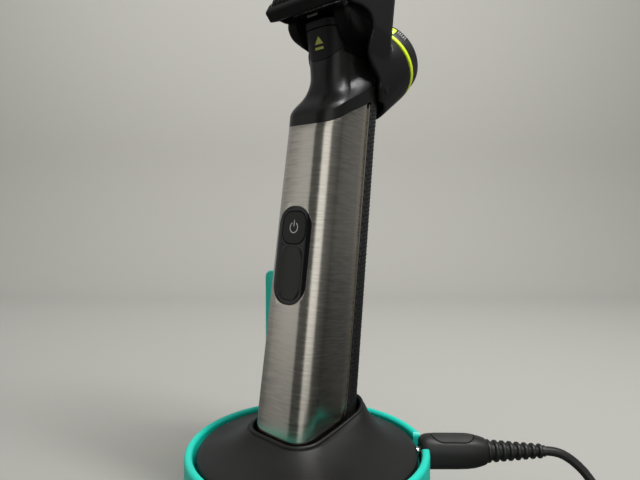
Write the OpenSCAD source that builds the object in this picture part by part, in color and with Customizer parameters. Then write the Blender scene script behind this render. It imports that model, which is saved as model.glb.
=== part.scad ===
// Shaver seated in its charging stand, in an open ring holder with a back plate.
// Z is up, Y points to the back plate, X to the lead. The origin is the ring's
// centre on the surface that the holder stands on. Sizes are in millimetres.

/* [Holder] */
// Outer radius of the ring cup
ring_r = 46; // [40:0.5:60]
// Wall thickness of the ring cup
ring_wall = 3; // [2:0.1:5]
// Height of the ring cup
ring_h = 30; // [27:0.5:40]
// Thickness of the cup's floor
floor_t = 3; // [2:0.1:5]
// Width of the upright back plate
plate_w = 41.6; // [30:0.2:60]
// Thickness of the upright back plate
plate_t = 4; // [3:0.1:6]
// Height of the upright back plate
plate_h = 91.4; // [60:0.2:120]
// Width of the notch that lets the plug through
notch_w = 13.2; // [12:0.1:16]

/* [Stand] */
// Gap between the stand and the ring all round
stand_gap = 1.4; // [0.8:0.1:3]
// Wall thickness of the stand's shell
shell_t = 2; // [1.6:0.1:3]
// Height of the stand's edge below the ring's rim
edge_drop = 1; // [0:0.1:3]
// Thickness of the base plate
base_t = 2; // [1.5:0.1:3]
// Height of the rubber feet
foot_h = 1; // [0.6:0.1:2]
// Depth of the seat below the ring's rim, along the leaning axis
seat_depth = 16; // [12:0.5:18]
// Gap between the handle's foot and the seat's wall
seat_gap = 0.8; // [0.5:0.1:1.5]
// Wall thickness of the seat and its lip
seat_wall = 1.4; // [1:0.1:2]
// Height of the lip above the rim, at its middle
lip_h = 7.4; // [5:0.1:10]
// Rise of the lip from front to back, as a slope
lip_slope = 0.2; // [0:0.01:0.3]

/* [Pose of the shaver] */
// Turn of the shaver about its own axis, in degrees
shaver_yaw = 42; // [0:1:60]
// Lean of the shaver from upright, in degrees
shaver_lean = 6.3; // [0:0.1:10]
// Direction that the shaver leans to, in degrees from X
lean_to = 36; // [0:1:90]
// Offset of the shaver's axis from the ring's centre, along Y
shaver_y = 5; // [0:0.5:8]

/* [Handle] */
// Width of the handle at its foot
foot_w = 29.2; // [26:0.1:32]
// Depth of the handle at its foot
foot_d = 36.2; // [32:0.1:38]
// Width of the handle at the neck
top_w = 25.6; // [24:0.1:28]
// Depth of the handle at the neck
top_d = 32.8; // [30:0.1:34]
// Corner radius of the handle
handle_r = 8; // [6:0.5:10]
// Wall thickness of the metal sleeve
sleeve_t = 0.9; // [0.6:0.1:1.2]
// Place of the seam between sleeve and grip, behind the axis
seam_y = 6.5; // [5:0.1:8]
// Width of the dark button panel
panel_w = 16.6; // [14:0.1:18]
// Height of the dark button panel
panel_h = 36.8; // [32:0.1:40]
// Width of the power button
button_w = 11.6; // [9:0.1:12]
// Height of the power button
button_h = 12; // [9:0.1:13]
// Travel of the power button
button_travel = 0.5; // [0.3:0.05:0.6]
// Diameter of the rechargeable cell
cell_d = 14; // [12:0.1:15]
// Length of the rechargeable cell
cell_l = 50; // [40:0.5:54]
// Diameter of the motor
motor_d = 16; // [14:0.1:17]
// Length of the motor
motor_l = 26; // [20:0.5:28]

/* [Head and comb] */
// Width of the blade
blade_w = 29; // [24:0.2:30]
// Tilt of the blade, in degrees
blade_tilt = 33; // [20:1:40]
// Number of teeth on the comb
comb_teeth_n = 13; // [9:1:15]
// Half of the comb's width
comb_hw = 17.4; // [17:0.1:19]
// Wall thickness of the comb's frame
comb_t = 1.6; // [1.4:0.1:2]
// Radius of the length wheel
wheel_r = 16.8; // [14:0.1:18]
// Height of the length wheel along its axis
wheel_h = 6.8; // [5:0.1:9]
// Tilt of the wheel's axis above the handle's back, in degrees
wheel_tilt = 46; // [40:1:50]

/* [Lead] */
// Diameter of the cord
cord_d = 3.5; // [3:0.1:4]
// Depth of the plug's axis below the rim
plug_drop = 4.5; // [4:0.1:6]
// Height of the plug's body
plug_h = 13; // [12:0.1:14]
// Width of the plug's body
plug_w = 11.6; // [10:0.1:12]
// Radius of the coil's middle turn
coil_r = 20.5; // [18:0.1:21]
// Length of the wall adapter's body
adapter_l = 52; // [40:1:70]
// Width of the wall adapter's body
adapter_w = 36; // [30:1:44]

/* [Hidden] */
$fn = 48;
eps = 0.01;
tiny = 0.3;              // gap between parts that move past each other
fit = 0.15;              // gap between parts that are fixed together

rim_z = ring_h;
ring_in = ring_r - ring_wall;
stand_r = ring_in - stand_gap;
stand_z = floor_t + foot_h;             // underside of the stand
edge_z = rim_z - edge_drop;
shaver_x = -1;
seat_t = -seat_depth;                   // the seat's floor, along the handle's axis
handle_top = 120;
taper_l = handle_top + seat_depth;
plug_y = 2.3;
plug_z = rim_z - plug_drop;
plug_room = 1.2;                        // gap under the plug in the notch
notch_z = plug_z - plug_h / 2 - plug_room;

// Half sizes of the handle at height t along its axis
function share(t) = (t - seat_t) / taper_l;
function half_w(t) = (foot_w + (top_w - foot_w) * share(t)) / 2;
function half_d(t) = (foot_d + (top_d - foot_d) * share(t)) / 2;

// Rotation of the leaning frame, as a function for points and a module for solids
function rot_z(v, a) = [v.x * cos(a) - v.y * sin(a), v.x * sin(a) + v.y * cos(a), v.z];
function rot_y(v, a) = [v.x * cos(a) + v.z * sin(a), v.y, -v.x * sin(a) + v.z * cos(a)];
function leaned(v) =
  rot_z(rot_y(rot_z(v, -lean_to - shaver_yaw), shaver_lean), lean_to) + [shaver_x, shaver_y, rim_z];
module in_shaver() {
  translate([shaver_x, shaver_y, rim_z])
    rotate([0, 0, lean_to]) rotate([0, shaver_lean, 0]) rotate([0, 0, -lean_to - shaver_yaw])
      children();
}

// Skin through rings of points, all with the same count, from the lowest ring up
module skin(rings) {
  n = len(rings[0]);
  m = len(rings);
  points = [for (ring = rings, pt = ring) pt];
  sides = [for (j = [0 : m - 2], i = [0 : n - 1]) let (k = (i + 1) % n)
    each [[j * n + i, (j + 1) * n + i, (j + 1) * n + k], [j * n + i, (j + 1) * n + k, j * n + k]]];
  polyhedron(points, concat(sides, [[for (i = [0 : n - 1]) i]], [[for (i = [0 : n - 1]) m * n - 1 - i]]));
}

// Rounded rectangle whose front and back halves may differ, at height t
corner_steps = 7;
function corner(cx, cy, r, a0) = [for (i = [0 : corner_steps - 1])
  let (a = a0 + 90 * i / (corner_steps - 1)) [cx + r * cos(a), cy + r * sin(a)]];
function section(t, wf, wb, yf, yb, rf, rb) = [for (pt = concat(
  corner(wb - rb, yb - rb, rb, 0), corner(rb - wb, yb - rb, rb, 90),
  corner(rf - wf, rf - yf, rf, 180), corner(wf - rf, rf - yf, rf, 270))) [pt.x, pt.y, t]];

// Smooth curve through points or rows, n pieces from one to the next
function through(p, n) = concat([for (i = [0 : len(p) - 2], k = [0 : n - 1])
  let (a = p[max(i - 1, 0)], b = p[i], c = p[i + 1], d = p[min(i + 2, len(p) - 1)], u = k / n)
  (2 * b + (c - a) * u + (2 * a - 5 * b + 4 * c - d) * u * u + (3 * b - a - 3 * c + d) * u * u * u) / 2],
  [p[len(p) - 1]]);

// Outer form of handle and neck: height, half width front and back, reach front and back,
// corner radius front and back
neck_rows = [
  [124, 0, 0, 0.1, 0.1, 0, 0],
  [127.6, 0.2, 0, 1.4, 0.4, 0.5, 0],
  [131, 1.2, 0, 3.5, 0.7, 1, 0],
  [135.5, 2.5, 0.5, 5.2, 0.9, 1.5, 0],
  [139.5, 3.3, 1.3, 6.1, 0.9, 2, 0.5],
  [144, 3.8, 1.6, 6, 1.3, 2.5, 1],
  [150, 4, 2.6, 4.8, 2.4, 2.5, 2],
  [156, 3.8, 3.4, 3, 3.6, 2.5, 2.5],
  [162, 3.4, 3.6, 0.9, 4, 2.5, 2.5]
];
neck_line = [for (row = through(neck_rows, 2)) [for (i = [0 : 6]) max(row[i], 0)]];
function handle_section(t, e) =
  section(t, half_w(t) - e, half_w(t) - e, half_d(t) - e, half_d(t) - e, handle_r - e, handle_r - e);
function neck_section(row, e) = let (w = top_w / 2, d = top_d / 2) section(row[0],
  w - row[1] - e, w - row[2] - e, d - row[3] - e, d - row[4] - e,
  handle_r - row[5] - e, handle_r - row[6] - e);
module shaver_form(e = 0, low = seat_t) {
  skin(concat([handle_section(low, e), handle_section(handle_top, e)],
    [for (row = neck_line) neck_section(row, e)]));
}

// Slab that keeps what lies above, or below, the slanted edge of the sleeve
edge_line = [[-30, 119.6], [-15, 120.2], [-10, 123.2], [-6.2, 125.7], [4.3, 131.9], [30, 147]];
module side_sheet(outline, w) {
  translate([-w / 2, 0, 0]) rotate([90, 0, 90]) linear_extrude(w) polygon(outline);
}
module above_edge(rise = 0) {
  side_sheet(concat([for (pt = edge_line) pt + [0, rise]], [[30, 190], [-30, 190]]), 60);
}

// Block centred on x, from y0 to y1 and z0 to z1
module bar(w, y0, y1, z0, z1) {
  translate([-w / 2, y0, z0]) cube([w, y1 - y0, z1 - z0]);
}

// Upright rounded plate along y, for the panel, the button and the window
module pill(w, z0, z1, r, y0, y1) {
  translate([0, y1, 0]) rotate([90, 0, 0]) linear_extrude(y1 - y0) union() {
    translate([-w / 2, z0 + r]) square([w, z1 - z0 - 2 * r]);
    translate([-w / 2 + r, z0]) square([w - 2 * r, z1 - z0]);
    for (x = [r - w / 2, w / 2 - r], z = [z0 + r, z1 - r]) translate([x, z]) circle(r);
  }
}

/* Holder and stand */

module holder() {
  color("turquoise") difference() {
    union() {
      rotate_extrude($fn = 120) union() {
        translate([ring_in, 0]) square([ring_wall, ring_h - ring_wall / 2]);
        translate([ring_r - ring_wall / 2, ring_h - ring_wall / 2]) circle(ring_wall / 2);
        square([ring_r - eps, floor_t]);
      }
      difference() {
        translate([-plate_w / 2, ring_r - 14, 0]) cube([plate_w, 14 + plate_t - 1, ring_h - 1]);
        translate([0, 0, -1]) cylinder(h = ring_h + 2, r = ring_r - ring_wall / 2, $fn = 120);
      }
      translate([0, ring_r - 1, 0]) pill_plate();
    }
    notch();
  }
}
// Slot in the ring for the plug: round lower corners and an open top
module notch() {
  r = 3;
  translate([ring_in - 6, plug_y - notch_w / 2, notch_z]) {
    translate([0, 0, r]) cube([14, notch_w, ring_h]);
    translate([0, r, 0]) cube([14, notch_w - 2 * r, r + 1]);
    for (y = [r, notch_w - r]) translate([0, y, r]) rotate([0, 90, 0]) cylinder(h = 14, r = r);
  }
}
module pill_plate() {
  r = 2;
  translate([0, plate_t, 0]) rotate([90, 0, 0]) linear_extrude(plate_t) union() {
    translate([-plate_w / 2, 0]) square([plate_w, plate_h - r]);
    translate([r - plate_w / 2, 0]) square([plate_w - 2 * r, plate_h]);
    for (x = [r - plate_w / 2, plate_w / 2 - r]) translate([x, plate_h - r]) circle(r);
  }
}

// Seat: a straight well along the leaning axis
well_w = foot_w + 2 * seat_gap;
well_d = foot_d + 2 * seat_gap;
well_r = handle_r + seat_gap;
lip_w = well_w + 2 * seat_wall;
lip_d = well_d + 2 * seat_wall;
lip_r = well_r + seat_wall;
module upright(w, d, r, t0, t1) {
  translate([0, 0, t0]) linear_extrude(t1 - t0) union() {
    square([w, d - 2 * r], center = true);
    square([w - 2 * r, d], center = true);
    for (x = [-1, 1], y = [-1, 1]) translate([x * (w / 2 - r), y * (d / 2 - r)]) circle(r);
  }
}

// Dome: rings that run from the stand's edge circle to the lip's rounded rectangle
dome_n = 60;
dome_rise = 2.2;
function ray(a, hw, hd, r) = let (c = abs(cos(a)), s = abs(sin(a)), x = hw - r, y = hd - r)
  hw * s <= y * c ? hw / c : hd * c <= x * s ? hd / s :
  let (b = c * x + s * y) b + sqrt(b * b - x * x - y * y + r * r);
function lip_point(a) = let (k = ray(a, lip_w / 2, lip_d / 2, lip_r), y = k * sin(a))
  leaned([k * cos(a), y, lip_h + lip_slope * y]);
function rise(u) = dome_rise * sin(90 * u);
function dome_point(a, u, drop) = let (
  far = [stand_r * cos(a - shaver_yaw), stand_r * sin(a - shaver_yaw), edge_z],
  near = lip_point(a), flat = far + (near - far) * pow(u, 0.85))
  [flat.x, flat.y, edge_z + rise(u) + (near.z - edge_z - dome_rise) * pow(u, 3.4) - drop];
function dome_ring(u, drop) = [for (i = [0 : dome_n - 1]) dome_point(360 * i / dome_n, u, drop)];
function edge_ring(r, z) = [for (i = [0 : dome_n - 1]) let (a = 360 * i / dome_n - shaver_yaw)
  [r * cos(a), r * sin(a), z]];
dome_steps = [0.06, 0.25, 0.45, 0.6, 0.72, 0.82, 0.9, 0.96, 1];
module dome() {
  skin(concat([edge_ring(stand_r, stand_z), edge_ring(stand_r, edge_z - 0.9),
    edge_ring(stand_r - 0.4, edge_z - 0.2)], [for (u = dome_steps) dome_ring(u, 0)]));
}
module dome_cavity() {
  skin(concat([edge_ring(stand_r - shell_t, stand_z - 1),
    edge_ring(stand_r - shell_t, edge_z - shell_t - 0.6)],
    [for (u = [0.12, 0.35, 0.6, 0.76, 0.9]) dome_ring(u, shell_t)]));
}
screw_spots = [[-28, 18], [27, -17], [-18, -28]];
inlet_l = 12;
inlet_x1 = stand_r - shell_t - 1;
tip_d = 3.4;
tip_gap = 0.1;
module stand_shell() {
  color([0.16, 0.16, 0.15]) difference() {
    union() {
      difference() {
        dome();
        dome_cavity();
      }
      in_shaver() intersection() {
        upright(lip_w - 0.3, lip_d - 0.3, lip_r - 0.15, seat_t - shell_t, 30);
        side_sheet([[-40, -40], [-40, lip_h - 40 * lip_slope - 1.2], [40, lip_h + 40 * lip_slope - 1.2], [40, -40]], 60);
      }
      for (s = screw_spots) translate([s.x, s.y, stand_z + base_t + fit])
        cylinder(h = edge_z - stand_z - base_t - fit - 1, d = 6);
    }
    in_shaver() upright(well_w, well_d, well_r, seat_t, 40);
    for (s = screw_spots) translate([s.x, s.y, stand_z]) cylinder(h = 12, d = 2);
    in_shaver() bar(block_w + 2 * fit, -block_d / 2 - fit, block_d / 2 + fit, seat_t - 5, seat_t + 1);
    translate([stand_r - 6, plug_y, plug_z]) rotate([0, 90, 0]) cylinder(h = 10, d = tip_d + 0.8);
  }
}
module stand_base() {
  color([0.12, 0.12, 0.12]) difference() {
    translate([0, 0, stand_z]) cylinder(h = base_t, r = stand_r - shell_t - fit, $fn = 96);
    for (s = screw_spots) translate([s.x, s.y, stand_z - 1]) cylinder(h = base_t + 2, d = 2.6);
  }
}
foot_spots = [for (a = [45 : 90 : 315]) 30 * [cos(a), sin(a)]];
module stand_feet() {
  color([0.08, 0.08, 0.08]) for (s = foot_spots)
    translate([s.x, s.y, floor_t]) cylinder(h = foot_h, d = 8);
}
module stand_screws() {
  color("silver") for (s = screw_spots) translate([s.x, s.y, stand_z - 0.9]) {
    cylinder(h = 0.9, d = 4.4);
    cylinder(h = 9, d = 1.9);
  }
}

// Contact block: stands up from the seat's floor into the handle's foot
block_w = 12;
block_d = 7;
block_h = 5;
pin_pitch = 6;
module contact_block() {
  color([0.2, 0.2, 0.2]) in_shaver() difference() {
    bar(block_w, -block_d / 2, block_d / 2, seat_t - 4.4, seat_t + block_h);
    for (x = [-1, 1]) translate([x * pin_pitch / 2, 0, seat_t - 6]) cylinder(h = 20, d = 1.7);
  }
}
module contact_pins() {
  color("gold") in_shaver() for (x = [-1, 1])
    translate([x * pin_pitch / 2, 0, seat_t - 4.2]) cylinder(h = block_h + 4.8, d = 1.6);
}
board_z = stand_z + base_t + 0.4;
module stand_board() {
  color("darkgreen") translate([-13, -9, board_z]) cube([40, 22, 1.2]);
}
module inlet_socket() {
  color([0.25, 0.25, 0.26]) difference() {
    translate([inlet_x1 - inlet_l, plug_y - 5, board_z + 1.2 + eps])
      cube([inlet_l, 10, plug_z + 0.9 - board_z - 1.2]);
    translate([inlet_x1 - inlet_l + 1.6, plug_y, plug_z]) rotate([0, 90, 0])
      cylinder(h = 20, d = tip_d + 2 * tip_gap);
  }
}

/* Shaver handle */

sleeve_t0 = seat_t + 10;
back_t = 2;
module handle_sleeve() {
  color([0.66, 0.65, 0.62]) in_shaver() difference() {
    shaver_form();
    shaver_form(sleeve_t, seat_t - 1);
    bar(60, -30, 30, -60, sleeve_t0);
    bar(60, seam_y, 30, -60, 190);
    above_edge();
    pill(panel_w + 2 * fit, panel_z0 - fit, panel_z1 + fit, panel_r, -30, 0);
  }
}
panel_z0 = 52.3;
panel_z1 = panel_z0 + panel_h;
panel_r = 7.6;
rib_n = 26;
rib_pitch = 4;
grip_top = 149.6;
module grip_back() {
  color([0.09, 0.09, 0.09]) in_shaver() difference() {
    shaver_form();
    difference() {
      shaver_form(back_t, seat_t - 1);
      bar(60, -30, 30, 140, 200);
    }
    bar(60, -30, 30, -60, sleeve_t0);
    bar(60, -30, seam_y + fit, -60, 190);
    bar(60, -30, 30, grip_top, 190);
    for (i = [0 : rib_n - 1]) bar(15, half_d(8 + i * rib_pitch) - 0.5, 30,
      8 + i * rib_pitch, 9.6 + i * rib_pitch);
    for (t = screw_ts) translate([0, 0, t]) rotate([-90, 0, 0]) cylinder(h = 30, d = 2.4);
    for (t = screw_ts) translate([0, half_d(t) - 1.2, t]) rotate([-90, 0, 0]) cylinder(h = 9, d = 4.2);
  }
}
screw_ts = [2, 113.5];
core_w = 19;
core_y0 = -8;
core_y1 = 11.5;
core_t0 = sleeve_t0;
core_t1 = 118.4;
cell_t0 = 12;
motor_t0 = 82;
power_y = 2;             // middle line of the cell and the motor, behind the axis
module chassis() {
  color([0.75, 0.75, 0.72]) in_shaver() difference() {
    bar(core_w, core_y0, core_y1, core_t0, core_t1);
    translate([0, power_y, cell_t0]) cylinder(h = cell_l + 0.4, d = cell_d + 0.4);
    bar(cell_d + 0.4, power_y, 30, cell_t0, cell_t0 + cell_l + 0.4);
    translate([0, power_y, motor_t0]) cylinder(h = motor_l + 0.4, d = motor_d + 0.4);
    bar(motor_d + 0.4, power_y, 30, motor_t0, motor_t0 + motor_l + 0.4);
    translate([0, power_y, motor_t0]) cylinder(h = 60, d = 6);
    for (x = [-1, 1]) bar2(x * pin_pitch / 2, 3, -1.5, 1.5, core_t0 - 1, core_t0 + 3);
    for (t = screw_ts) translate([0, 6, t]) rotate([-90, 0, 0]) cylinder(h = 30, d = 1.8);
  }
}
module bar2(x, w, y0, y1, z0, z1) { translate([x, 0, 0]) bar(w, y0, y1, z0, z1); }
module end_cap() {
  color([0.1, 0.1, 0.1]) in_shaver() difference() {
    shaver_form();
    bar(60, -30, 30, sleeve_t0 - eps, 200);
    bar(block_w + 0.8, -block_d / 2 - 0.4, block_d / 2 + 0.4, seat_t - 1, seat_t + block_h + 0.4);
    for (x = [-1, 1]) translate([x * pin_pitch / 2, 0, seat_t]) cylinder(h = 20, d = 2.4);
  }
}
module charge_contacts() {
  color("gold") in_shaver() for (x = [-1, 1])
    translate([x * pin_pitch / 2, 0, seat_t + block_h + 0.8]) cylinder(h = 7, d = 2.2);
}
module cell() {
  color([0.2, 0.5, 0.75]) in_shaver() translate([0, power_y, cell_t0 + 0.2]) {
    cylinder(h = cell_l - 1.5, d = cell_d);
    cylinder(h = cell_l, d = 5);
  }
}
board_y = core_y0;
module main_board() {
  color("darkgreen") in_shaver() bar(17, board_y - 1.2, board_y, core_t0 + 4, 112);
}
button_t = panel_z1 - 8;
module button_switch() {
  color("silver") in_shaver() bar(6, board_y - 3.4, board_y - 1.2, button_t - 3, button_t + 3);
}
module motor() {
  color([0.7, 0.7, 0.72]) in_shaver() translate([0, power_y, motor_t0 + 0.2]) {
    cylinder(h = motor_l, d = motor_d);
    cylinder(h = motor_l + 1.6, d = 5);
  }
}
shaft_d = 2.4;
throw = 1;
shaft_t0 = motor_t0 + 0.2 + motor_l + 1.6 + 0.1;
shaft_t1 = 160.4;
module drive_shaft() {
  color("silver") in_shaver() translate([0, power_y, 0]) {
    translate([0, 0, shaft_t0]) cylinder(h = shaft_t1 - shaft_t0, d = shaft_d);
    translate([0, 0, shaft_t1 - 4]) cylinder(h = 4, d = 5);
    translate([throw, 0, shaft_t1]) cylinder(h = 4.4, d = 1.6);
  }
}
module grip_screws() {
  color("silver") in_shaver() for (t = screw_ts) {
    translate([0, half_d(t) - 1.2, t]) rotate([-90, 0, 0]) cylinder(h = 0.8, d = 4);
    translate([0, 7, t]) rotate([-90, 0, 0]) cylinder(h = half_d(t) - 1.2 - 7 + 0.1, d = 1.8);
  }
}

// Panel, button and window follow the handle's own curved front
panel_sink = 0.12;
window_z1 = button_t - button_h / 2 - 0.9;
window_w = 11.4;
module button_panel() {
  color([0.03, 0.03, 0.03]) in_shaver() difference() {
    intersection() {
      shaver_form(panel_sink);
      pill(panel_w, panel_z0, panel_z1, panel_r, -30, -9.6);
    }
    pill(button_w + 2 * tiny, button_t - button_h / 2 - tiny, button_t + button_h / 2 + tiny, 4.4, -40, 0);
    pill(window_w + 2 * fit, panel_z0 + 1.6 - fit, window_z1 + fit, 4.8, -40, -half_d(60) + 1.8);
  }
}
module power_button() {
  color([0.06, 0.06, 0.06]) in_shaver() {
    intersection() {
      shaver_form(panel_sink - 0.1);
      pill(button_w, button_t - button_h / 2, button_t + button_h / 2, 4.1, -30, -12.6);
    }
    bar(3, -12.6 - eps, board_y - 3.4 - button_travel - 0.1, button_t - 1.5, button_t + 1.5);
  }
}
module display_window() {
  color([0.1, 0.11, 0.12]) in_shaver() intersection() {
    shaver_form(panel_sink - 0.04);
    pill(window_w, panel_z0 + 1.6, window_z1, 4.6, -30, -half_d(60) + 1.8 - fit);
  }
}

// Neck: the slanted shoulder, the waist and the spine that carries the blade
slider_t0 = 146;
slider_t1 = 160.4;
slider_travel = 3;
slider_y = -7.6;
spine_w = 11.6;
spine_y1 = 6.3;
spine_t1 = 161;
module neck_housing() {
  color([0.13, 0.13, 0.13]) in_shaver() difference() {
    union() {
      intersection() {
        difference() {
          shaver_form();
          bar(60, slider_y, 40, grip_top, 200);
          slider_slab(-40, slider_y, slider_t0 - tiny, 200);
        }
        above_edge(fit);
      }
      intersection() {
        shaver_form(sleeve_t + fit);
        bar(60, -40, 40, core_t1 + fit, 136);
      }
      bar(spine_w, slider_y, spine_y1, 145, spine_t1);
    }
    bar(60, seam_y, 40, -20, 200);
    translate([0, power_y, 100]) cylinder(h = 80, d = 7.4);
  }
}
// Slab in front of the spine whose lower side is an arc, lowest in the middle
slider_arc = 16;
module slider_slab(y0, y1, z0, z1) {
  translate([0, y1, 0]) rotate([90, 0, 0]) linear_extrude(y1 - y0) polygon(concat(
    [for (a = [-54 : 6 : 54]) [slider_arc * sin(a), z0 + slider_arc * (1 - cos(a))]],
    [[30, z0 + slider_arc * (1 - cos(54))], [30, z1], [-30, z1], [-30, z0 + slider_arc * (1 - cos(54))]]));
}
module release_slider() {
  color([0.15, 0.15, 0.15]) in_shaver() intersection() {
    shaver_form();
    slider_slab(-40, slider_y - tiny, slider_t0, slider_t1);
  }
}

/* Head */

head_y = -8;
head_t = 169.6;
module on_blade() { translate([0, head_y, head_t]) rotate([blade_tilt, 0, 0]) children(); }
carrier_t0 = grip_top + tiny;
// The carrier widens from the neck to the blade: height, half width front and back, reach front
carrier_rows = [[carrier_t0, 8.3, 8.2, 8.8], [152, 9, 8.7, 9.2], [154.4, 11.8, 9.8, 10.4],
  [156.8, 14.2, 11, 11.8], [159.4, 15, 12, 14], [161.8, 15.2, 12.4, 15.4]];
function carrier_section(row) = section(row[0], row[1], row[2], row[3], 8.8, 3, 3);
module blade_carrier() {
  color([0.08, 0.08, 0.08]) in_shaver() difference() {
    union() {
      skin([for (row = carrier_rows) carrier_section(row)]);
      hull() {
        skin([carrier_section(carrier_rows[5] - [0.1, 0, 0, 0]), carrier_section(carrier_rows[5])]);
        bar(blade_w - 4, slider_y, 9, 163, 165);
        on_blade() translate([0, 0, -1.6]) cube([blade_w + 1.4, 14.4, 1.6], center = true);
      }
    }
    bar(spine_w + 2 * tiny, slider_y - 1, spine_y1 + tiny, 140, spine_t1 + tiny);
    bar(19.8, -40, slider_y + eps, 140, slider_t1 + slider_travel + tiny);
    translate([0, power_y, 149]) cylinder(h = 17, d = 7.6);
    fork_path(9, 6.4);
  }
}
// Way of the fork from the drive pin up to the cutter
module fork_path(w, d) {
  hull() {
    translate([0, power_y, 164.6]) cube([w, d, 6], center = true);
    on_blade() cube([w, d, 2.4], center = true);
  }
}
tooth_n = 17;
module toothed(w, d, h, n, tooth) {
  linear_extrude(h) union() {
    square([w, d - 2 * tooth], center = true);
    for (i = [0 : n - 1], s = [-1, 1]) let (x = (i - (n - 1) / 2) * w / n)
      translate([x, 0]) polygon([[-w / n * 0.34, s * (d / 2 - tooth - 0.1)],
        [w / n * 0.34, s * (d / 2 - tooth - 0.1)], [w / n * 0.12, s * d / 2], [-w / n * 0.12, s * d / 2]]);
  }
}
module guard_plate() {
  color("silver") in_shaver() on_blade() translate([0, 0, -0.8 + eps]) difference() {
    toothed(blade_w, 15, 0.8, tooth_n, 2);
    cube([9, 7.4, 6], center = true);
  }
}
module cutter() {
  color([0.6, 0.6, 0.62]) in_shaver() {
    on_blade() translate([0, 0, 0.1]) toothed(blade_w - 4, 14, 0.7, tooth_n - 2, 2);
    difference() {
      fork_path(6.4, 3.6);
      on_blade() translate([0, 0, 5.5]) cube([40, 40, 10], center = true);
      translate([0, power_y, 160]) cylinder(h = 5.2, d = 7);
    }
  }
}

/* Comb */

cradle_y0 = 9.4;
cradle_y1 = 11.4;
module comb_cradle() {
  color([0.07, 0.07, 0.07]) in_shaver() difference() {
    union() {
      bar(28, cradle_y0, cradle_y1, 152, 172);
      for (s = [-1, 1]) bar2(s * 14.2, 2.4, cradle_y0 - 1.5, cradle_y1, 152, 168);
    }
    bar(8, cradle_y0 - 1, cradle_y1 + 1, 156, 166);
  }
}
hood_back = 16;
hood_top = 187;
bar_t = 163;
arm_bar = [[-26.1, 162.8], [-22.8, 160.2], [-18.4, 162.6]];
arm_arch = [[-15.1, 162.9], [-9.4, 163.9], [-4.4, 163.4], [-1.6, 159.8], [-2.2, 154.5], [-3.3, 149.7],
  [-0.6, 145.6], [4.3, 142.1], [8.6, 138.6]];
arm_back = [[13, 137.6], [hood_back, 142]];
arm_high = [[hood_back, 182], [12, hood_top], [4, hood_top - 1], [-8, 181], [-18, 173.4], [-24.4, 166.6]];
wheel_y = 24;
wheel_t = 154.6;
module on_wheel() { translate([0, wheel_y, wheel_t]) rotate([-(90 - wheel_tilt), 0, 0]) children(); }
ring_t = 2;
house_l = 20;
spindle_d = 6;
spindle_low = 7;
bore_gap = 0.06;
bar_y = -20.4;
house_hw = 13;
house_t0 = 129.6;
module comb_plan(e, y1) {
  r = 8;
  translate([0, 0, 100]) linear_extrude(120) union() {
    translate([e - comb_hw, -40]) square([2 * (comb_hw - e), 40 + y1 - r]);
    translate([e - comb_hw + r - e, -40]) square([2 * (comb_hw - r), 40 + y1]);
    for (s = [-1, 1]) translate([s * (comb_hw - r), y1 - r]) circle(r - e);
  }
}
module comb_frame() {
  color([0.1, 0.1, 0.1]) in_shaver() difference() {
    union() {
      difference() {
        intersection() {
          side_sheet(concat(arm_bar, through(arm_arch, 3), arm_back, through(arm_high, 3)), 2 * comb_hw);
          comb_plan(0, hood_back);
        }
        // the hollow between the arms, under the hood's roof
        bar(2 * (comb_hw - comb_t), bar_y, hood_back - comb_t, 100, 184.8);
        bar(2 * (comb_hw - comb_t), -40, 8, bar_t, 230);
      }
      // the housing flows from the arms to the ring
      hull() {
        on_wheel() translate([0, 0, -1.2]) cylinder(h = 1.2, r = 17.1, $fn = 48);
        intersection() {
          comb_plan(0, hood_back);
          bar(2 * comb_hw, 6, hood_back, 139.4, 152);
        }
        pill(2 * house_hw, house_t0, 152, 8, top_d / 2 + 0.4, top_d / 2 + 2.2);
      }
    }
    // room for the handle's back and for the cradle
    bar(2 * (comb_hw - comb_t), -40, top_d / 2 + 0.7, 100, 151.4);
    bar(2 * (comb_hw - comb_t), -40, hood_back - comb_t, 151, 176);
    on_wheel() translate([0, 0, -house_l + 4]) difference() {
      cylinder(h = house_l - 6, r = 12.4, $fn = 72);
      translate([0, 0, -1]) cylinder(h = house_l, r = 5.2);
    }
    on_wheel() translate([0, 0, -house_l - 1]) cylinder(h = house_l + 2, d = spindle_d + 2 * bore_gap);
    on_wheel() cylinder(h = wheel_h + 4, r = 17.1 + tiny, $fn = 72);
  }
}
comb_pitch = 2.4;
tooth_top = [[-25.6, bar_t], [-25.3, 168], [-19.6, 175.4], [-8, 182.4], [3.8, 187]];
tooth_low = [[7.8, 184.2], [3, 183], [-8, 178.4], [-17, 171.6], [-21.6, 166.6], [-22, bar_t]];
module comb_teeth() {
  color([0.08, 0.08, 0.08]) in_shaver() for (i = [0 : comb_teeth_n - 1])
    translate([(i - (comb_teeth_n - 1) / 2) * comb_pitch, 0, 0])
      side_sheet(concat(through(tooth_top, 3), [[7.8, 187]], through(tooth_low, 3)), 1);
}
module length_wheel() {
  color([0.12, 0.12, 0.12]) in_shaver() on_wheel() difference() {
    translate([0, 0, ring_t + 0.3]) union() {
      cylinder(h = wheel_h - 1.2, r = wheel_r, $fn = 72);
      translate([0, 0, wheel_h - 1.2]) cylinder(h = 1.2, r1 = wheel_r, r2 = wheel_r - 1.2, $fn = 72);
    }
    translate([0, 0, wheel_h - 0.6]) cylinder(h = 5, r1 = wheel_r - 5, r2 = wheel_r - 3, $fn = 72);
    for (i = [0 : 47]) rotate([0, 0, i * 7.5]) translate([wheel_r + 0.5, 0, ring_t + 1.8])
      cylinder(h = wheel_h, r = 0.75, $fn = 14);
    translate([0, 0, -1]) cylinder(h = wheel_h - 1, d = spindle_d + 2 * fit);
  }
}
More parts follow.
